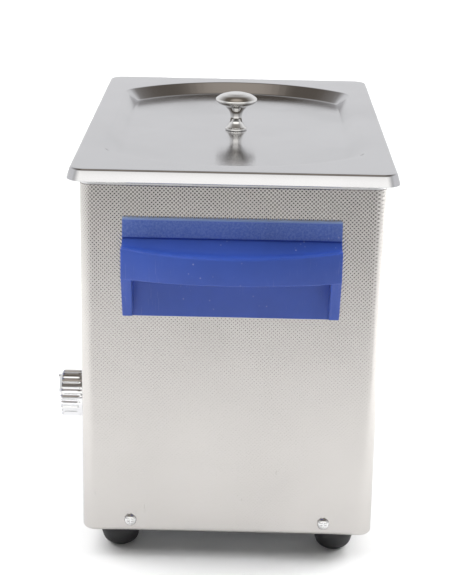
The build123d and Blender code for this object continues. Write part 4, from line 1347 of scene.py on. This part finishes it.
# ------------------------------------------------------------------ basket
@dataclass
class Basket:
    """Wire basket that stands in the tank.

    Attributes:
        length: Outer length.
        width: Outer width.
        floor: Height of its floor.
        top: Height of its rim.
        corner: Plan corner radius.
        pitch: Wire pitch.
        wire: Wire radius.
        leg: Height of the lowest end of its legs.
    """

    length: float = 212.0
    width: float = 112.0
    floor: float = 142.0
    top: float = 204.0
    corner: float = 14.0
    pitch: float = 6.4
    wire: float = 0.5
    leg: float = 122.3

    def cradle_tree(self) -> Repeat:
        """Tree that bends a wire into a cradle and repeats it along a line."""
        repeat = Repeat("cradle_wires")
        for label in ("Span", "Low", "High", "Bend", "Wire"):
            repeat.input(label)
        repeat.input("Turn", "Vector")
        given = repeat.start()
        w = repeat.wiring

        def corner(sign: float, level: str) -> bpy.types.NodeSocket:
            half = w.maths("MULTIPLY", given["Span"], sign * 0.5)
            return w.add("ShaderNodeCombineXYZ", {1: half, 2: given[level]}).outputs[0]

        quad = w.add("GeometryNodeCurvePrimitiveQuadrilateral", mode="POINTS")
        spots = [corner(-1, "High"), corner(-1, "Low"), corner(1, "Low"), corner(1, "High")]
        for label, spot in zip(("Point 1", "Point 2", "Point 3", "Point 4"), spots):
            w.feed(quad.inputs[label], spot)
        opened = w.add("GeometryNodeSetSplineCyclic", {"Geometry": quad.outputs[0]})
        opened.inputs["Cyclic"].default_value = False
        bent = w.add("GeometryNodeFilletCurve", {"Curve": opened.outputs[0],
                                                 "Radius": given["Bend"]})
        bent = self.poly_fillet(w, bent)
        turned_curve = w.add("GeometryNodeTransform", {"Geometry": bent, "Rotation": given["Turn"]})
        points = w.add("GeometryNodeMeshToPoints", {0: given["Geometry"]})
        spread = w.add("GeometryNodeInstanceOnPoints", {"Points": points.outputs[0],
                                                        "Instance": turned_curve.outputs[0]})
        real = w.add("GeometryNodeRealizeInstances", {0: spread.outputs[0]})
        repeat.close(self.round_wire(w, real.outputs[0], given["Wire"]), Look.wire)
        return repeat

    @staticmethod
    def poly_fillet(w: Wiring, node: bpy.types.Node) -> bpy.types.NodeSocket:
        """Give a fillet node its count and return its curve."""
        if "Mode" in node.inputs:
            node.inputs["Mode"].default_value = "Poly"
        else:
            node.mode = "POLY"
        node.inputs["Count"].default_value = 5
        return node.outputs[0]

    @staticmethod
    def round_wire(w: Wiring, curve: bpy.types.NodeSocket, radius: bpy.types.NodeSocket
                   ) -> bpy.types.NodeSocket:
        """Give a curve a round section."""
        section = w.add("GeometryNodeCurvePrimitiveCircle", {"Resolution": 7, "Radius": radius})
        tube = w.add("GeometryNodeCurveToMesh", {"Curve": curve, "Profile Curve": section.outputs[0]})
        tube.inputs["Fill Caps"].default_value = True
        return w.add("GeometryNodeSetShadeSmooth", {"Geometry": tube.outputs[0]}).outputs[0]

    def hoop_tree(self) -> Repeat:
        """Tree that repeats a rounded hoop at the points' heights."""
        repeat = Repeat("hoop_wires")
        for label in ("Length", "Width", "Corner", "Wire"):
            repeat.input(label)
        given = repeat.start()
        w = repeat.wiring
        quad = w.add("GeometryNodeCurvePrimitiveQuadrilateral",
                     {"Width": given["Length"], "Height": given["Width"]}, mode="RECTANGLE")
        bent = w.add("GeometryNodeFilletCurve", {"Curve": quad.outputs[0], "Radius": given["Corner"]})
        bent = self.poly_fillet(w, bent)
        points = w.add("GeometryNodeMeshToPoints", {0: given["Geometry"]})
        spread = w.add("GeometryNodeInstanceOnPoints", {"Points": points.outputs[0],
                                                        "Instance": bent})
        real = w.add("GeometryNodeRealizeInstances", {0: spread.outputs[0]})
        repeat.close(self.round_wire(w, real.outputs[0], given["Wire"]), Look.wire)
        return repeat

    def line_places(self, half: float, along_x: bool) -> list[Place]:
        """Even places on a line through the middle."""
        count = int(2 * half / self.pitch) + 1
        spots = [-half + 2 * half * i / (count - 1) for i in range(count)]
        return [(s, 0, 0) if along_x else (0, s, 0) for s in spots]

    def build(self) -> None:
        """Weave the basket, with its rim, legs and carrying loops."""
        half_x, half_y = self.length / 2 - self.corner, self.width / 2 - self.corner
        common = {"Bend": 5 * MM, "Wire": self.wire * MM, "High": (self.top - 1) * MM}
        cradles = self.cradle_tree()
        cross = cradles.run("basket_cross_wires", self.line_places(half_x, True), {
            **common, "Span": (self.width - 3) * MM, "Low": (self.floor + 1.0) * MM,
            "Turn": (0, 0, 0)})
        long = cradles.run("basket_long_wires", self.line_places(half_y, False), {
            **common, "Span": (self.length - 3) * MM, "Low": (self.floor + 2.0) * MM,
            "Turn": (0, 0, pi / 2)})
        levels = [(0, 0, self.floor + 8 + i * self.pitch) for i in range(8)]
        hoops = self.hoop_tree()
        sides = hoops.run("basket_hoops", levels, {
            "Length": (self.length - 1.4) * MM, "Width": (self.width - 1.4) * MM,
            "Corner": self.corner * MM, "Wire": self.wire * MM})
        rim = hoops.run("basket_rim", [(0, 0, self.top - 1.6)], {
            "Length": self.length * MM, "Width": self.width * MM,
            "Corner": self.corner * MM, "Wire": 1.5 * MM})
        legs = [placed(turned([(0, 0), (1.5, 0), (1.5, 20.5), (0, 20.5)], 20), Axis.UP,
                       (sx * 84, sy * 38, self.leg)) for sx in (-1, 1) for sy in (-1, 1)]
        feet = Look.wire.dress(bevelled(mesh_piece("basket_legs", *merged(*legs)), 0.4, 2))
        for piece in (cross, long, sides, feet):
            shown(piece, "basket", "basket_steel")
        shown(rim, "basket", "basket_steel", "basket_tray")
        Look.wire.dress(frame["nodes"]["basket_bails"])


# ------------------------------------------------------------------ rear and inside
class Inside:
    """Rear inlet and the pieces shut inside the casing."""

    finishes = {
        "power_inlet": Look.black, "inlet_blades": Look.brass, "handle_screws": Look.zinc,
        "heater_pad_front": Look.heater, "heater_pad_rear": Look.heater,
        "thermal_cutout": Look.aluminium, "generator_board": Look.board,
        "board_standoffs": Look.brass, "board_screws": Look.zinc, "heat_sinks": Look.aluminium,
        "power_transistors": Look.black, "transformer_core": Look.ferrite,
        "transformer_winding": Look.winding, "filter_capacitors": Look.cable,
        "terminal_block": Look.white, "mains_leads": Look.cable, "transducer_leads": Look.cable,
    }
    stack = {"front_mass": Look.aluminium, "piezo_rings": Look.ceramic, "electrodes": Look.brass,
             "back_mass": Look.zinc, "clamp_bolt": Look.oxide}

    def build(self) -> None:
        """Dress every inner node and set the inlet's screws."""
        for node, finish in self.finishes.items():
            finish.dress(frame["nodes"][node])
        for side in ("left", "right"):
            for piece, finish in self.stack.items():
                finish.dress(frame["nodes"][f"transducer_{side}_{piece}"])
        low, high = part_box("power_inlet")
        middle = (low + high) / 2 / MM
        places = [(middle.x + dx, high.y / MM, middle.z) for dx in (-20, 20)]
        screws = PanScrews(2.9, 1.8, 1.6, 6.0).set_out("inlet_screw_heads", places,
                                                      [Way.REAR] * 2, Look.screw)
        shown(screws, "housing", "chrome", "inlet_screws")


# ------------------------------------------------------------------ studio
@dataclass(frozen=True)
class Softbox:
    """Soft light that lights matt surfaces; metal sees the tent instead.

    Attributes:
        name: Name of the light.
        place: Where it hangs, in metres.
        size: Its width and height in metres.
        power: Its power in watts.
        aim: Point that it looks at, in metres.
    """

    name: str
    place: Place
    size: Point
    power: float
    aim: Place = (0.0, 0.0, 0.12)

    def hang(self) -> None:
        """Hang the light and turn it to its aim."""
        data = bpy.data.lights.new(self.name, "AREA")
        data.shape, data.size, data.size_y = "RECTANGLE", *self.size
        data.energy = self.power
        light = bpy.data.objects.new(self.name, data)
        light.visible_glossy = False
        way = Vector(self.aim) - Vector(self.place)
        light.rotation_euler = way.to_track_quat("-Z", "Y").to_euler()
        light.location = self.place
        bpy.context.scene.collection.objects.link(light)


@dataclass
class Studio:
    """Pale sweep, soft lights and the camera.

    Attributes:
        eye: Camera's place in metres.
        pitch: Angle in degrees that it looks down.
        yaw: Angle in degrees that it turns from the machine's long axis.
        roll: Its roll in degrees.
        lens: Focal length in millimetres on a 36 mm frame.
        floor_half: Half of the floor's side in metres.
        softboxes: Every light.
        tent, tent_end: Tones of the tent that metal sees, at large and towards +X.
        front_card, dusk, overhead: Tones of the card towards +X, of the tent's upper part and
            of the patch straight overhead.
        fill, backdrop: Tones that matt surfaces and the camera see.
    """

    eye: Place = (0.9501, 0.0064, 0.4268)
    pitch: float = 17.832
    yaw: float = -0.551
    roll: float = -1.067
    lens: float = 98.96
    floor_half: float = 1.7

    softboxes = (
        Softbox("front_softbox", (2.3, -0.3, 1.2), (1.5, 1.0), 2.4),
        Softbox("near_softbox", (0.20, -0.44, 0.50), (0.45, 0.45), 3.3, (0.20, -0.34, 0)),
        Softbox("top_softbox", (0.0, -0.15, 1.2), (0.7, 0.7), 1.5),
        Softbox("left_softbox", (-0.4, -1.4, 1.2), (1.2, 0.9), 11.0, (-0.3, -0.7, 0)),
        Softbox("low_softbox", (-0.05, 0.65, 0.55), (0.5, 0.4), 6.0, (-0.05, 0.3, 0)),
        Softbox("right_softbox", (-0.35, 1.1, 1.1), (1.2, 0.9), 6.0, (-0.25, 0.8, 0)),
        Softbox("back_softbox", (-0.95, 0.1, 1.2), (1.2, 0.8), 9.0, (-0.95, 0.1, 0)),
        Softbox("rear_softbox", (-2.3, 0.1, 1.3), (1.6, 1.0), 28.0, (-2.3, 0.1, 0)),
    )
    tent, tent_end = (0.82, 0.82, 0.835, 1), (0.07, 0.068, 0.065, 1)
    front_card, dusk, overhead = (1.5, 1.48, 1.45, 1), (0.13, 0.112, 0.095, 1), (0.44, 0.39, 0.34, 1)
    fill, backdrop = (0.20, 0.20, 0.20, 1), (1.1, 1.1, 1.1, 1)

    def camera(self) -> None:
        """Stand the camera in front of the right end, a little above the lid."""
        data = bpy.data.cameras.new("camera")
        data.lens, data.sensor_width, data.clip_start, data.clip_end = self.lens, 36.0, 0.05, 50.0
        e, turn, lean = radians(self.pitch), radians(self.yaw), radians(self.roll)
        ahead = Vector((-cos(e) * cos(turn), cos(e) * sin(turn), -sin(e)))
        right = ahead.cross(Vector((0, 0, 1))).normalized()
        up = right.cross(ahead)
        across = right * cos(lean) - up * sin(lean)
        above = right * sin(lean) + up * cos(lean)
        place = Matrix.Translation(self.eye) @ Matrix((across, above, -ahead)).transposed().to_4x4()
        camera = bpy.data.objects.new("camera", data)
        camera.matrix_world = place
        bpy.context.scene.collection.objects.link(camera)
        bpy.context.scene.camera = camera

    def floor(self) -> None:
        """Lay the paper sweep."""
        h = self.floor_half / MM
        floor = mesh_piece("floor", [(-h, -h, 0), (h, -h, 0), (h, h, 0), (-h, h, 0)], [[0, 1, 2, 3]])
        Look.floor.dress(floor)

    def sky(self) -> None:
        """Surroundings: plain white behind the floor, a dim even fill for matt surfaces, and for
        metal a pale tent that is dim towards +X, with a bright card there, and dark higher up."""
        world = bpy.data.worlds.new("studio")
        world.use_nodes = True
        world.node_tree.nodes.clear()
        w = Wiring(world.node_tree)
        way = w.add("ShaderNodeSeparateXYZ", {0: w.add("ShaderNodeTexCoord").outputs["Generated"]})
        x, z = way.outputs[0], way.outputs[2]
        low = w.blend(w.spread(x, 0.1, 0.95, 0, 1), self.tent, self.tent_end)
        front = w.maths("MULTIPLY", w.spread(x, 0.35, 0.75, 0, 1), w.spread(z, 0.08, 0.20, 0, 1))
        pale = w.blend(front, low, self.front_card)
        high = w.blend(w.spread(z, 0.42, 0.84, 0, 1), pale, self.dusk)
        above = w.blend(w.spread(z, 0.93, 0.985, 0, 1), high, self.overhead)
        path = w.add("ShaderNodeLightPath")
        plain = w.blend(path.outputs["Is Camera Ray"], self.fill, self.backdrop)
        tone = w.blend(path.outputs["Is Glossy Ray"], plain, above)
        back = w.add("ShaderNodeBackground", {"Color": tone, "Strength": 1.0})
        w.feed(w.add("ShaderNodeOutputWorld").inputs[0], back.outputs[0])
        bpy.context.scene.world = world

    def build(self) -> None:
        """Set the whole studio."""
        self.floor()
        self.sky()
        for box in self.softboxes:
            box.hang()
        self.camera()
        view = bpy.context.scene.view_settings
        view.view_transform, view.look, view.exposure, view.gamma = "Standard", "None", 0.0, 1.0


def main() -> None:
    """Build every assembly in order."""
    logging.basicConfig(level=logging.INFO, format="%(name)s: %(message)s")
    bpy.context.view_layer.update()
    Casing().build()
    Feet().build()
    Lid().build()
    for side, node in ((1, "handle_right"), (-1, "handle_left")):
        Handle().build(side, node)
    Controls().build()
    Basket().build()
    Inside().build()
    Studio().build()


if __name__ == "__main__":
    main()
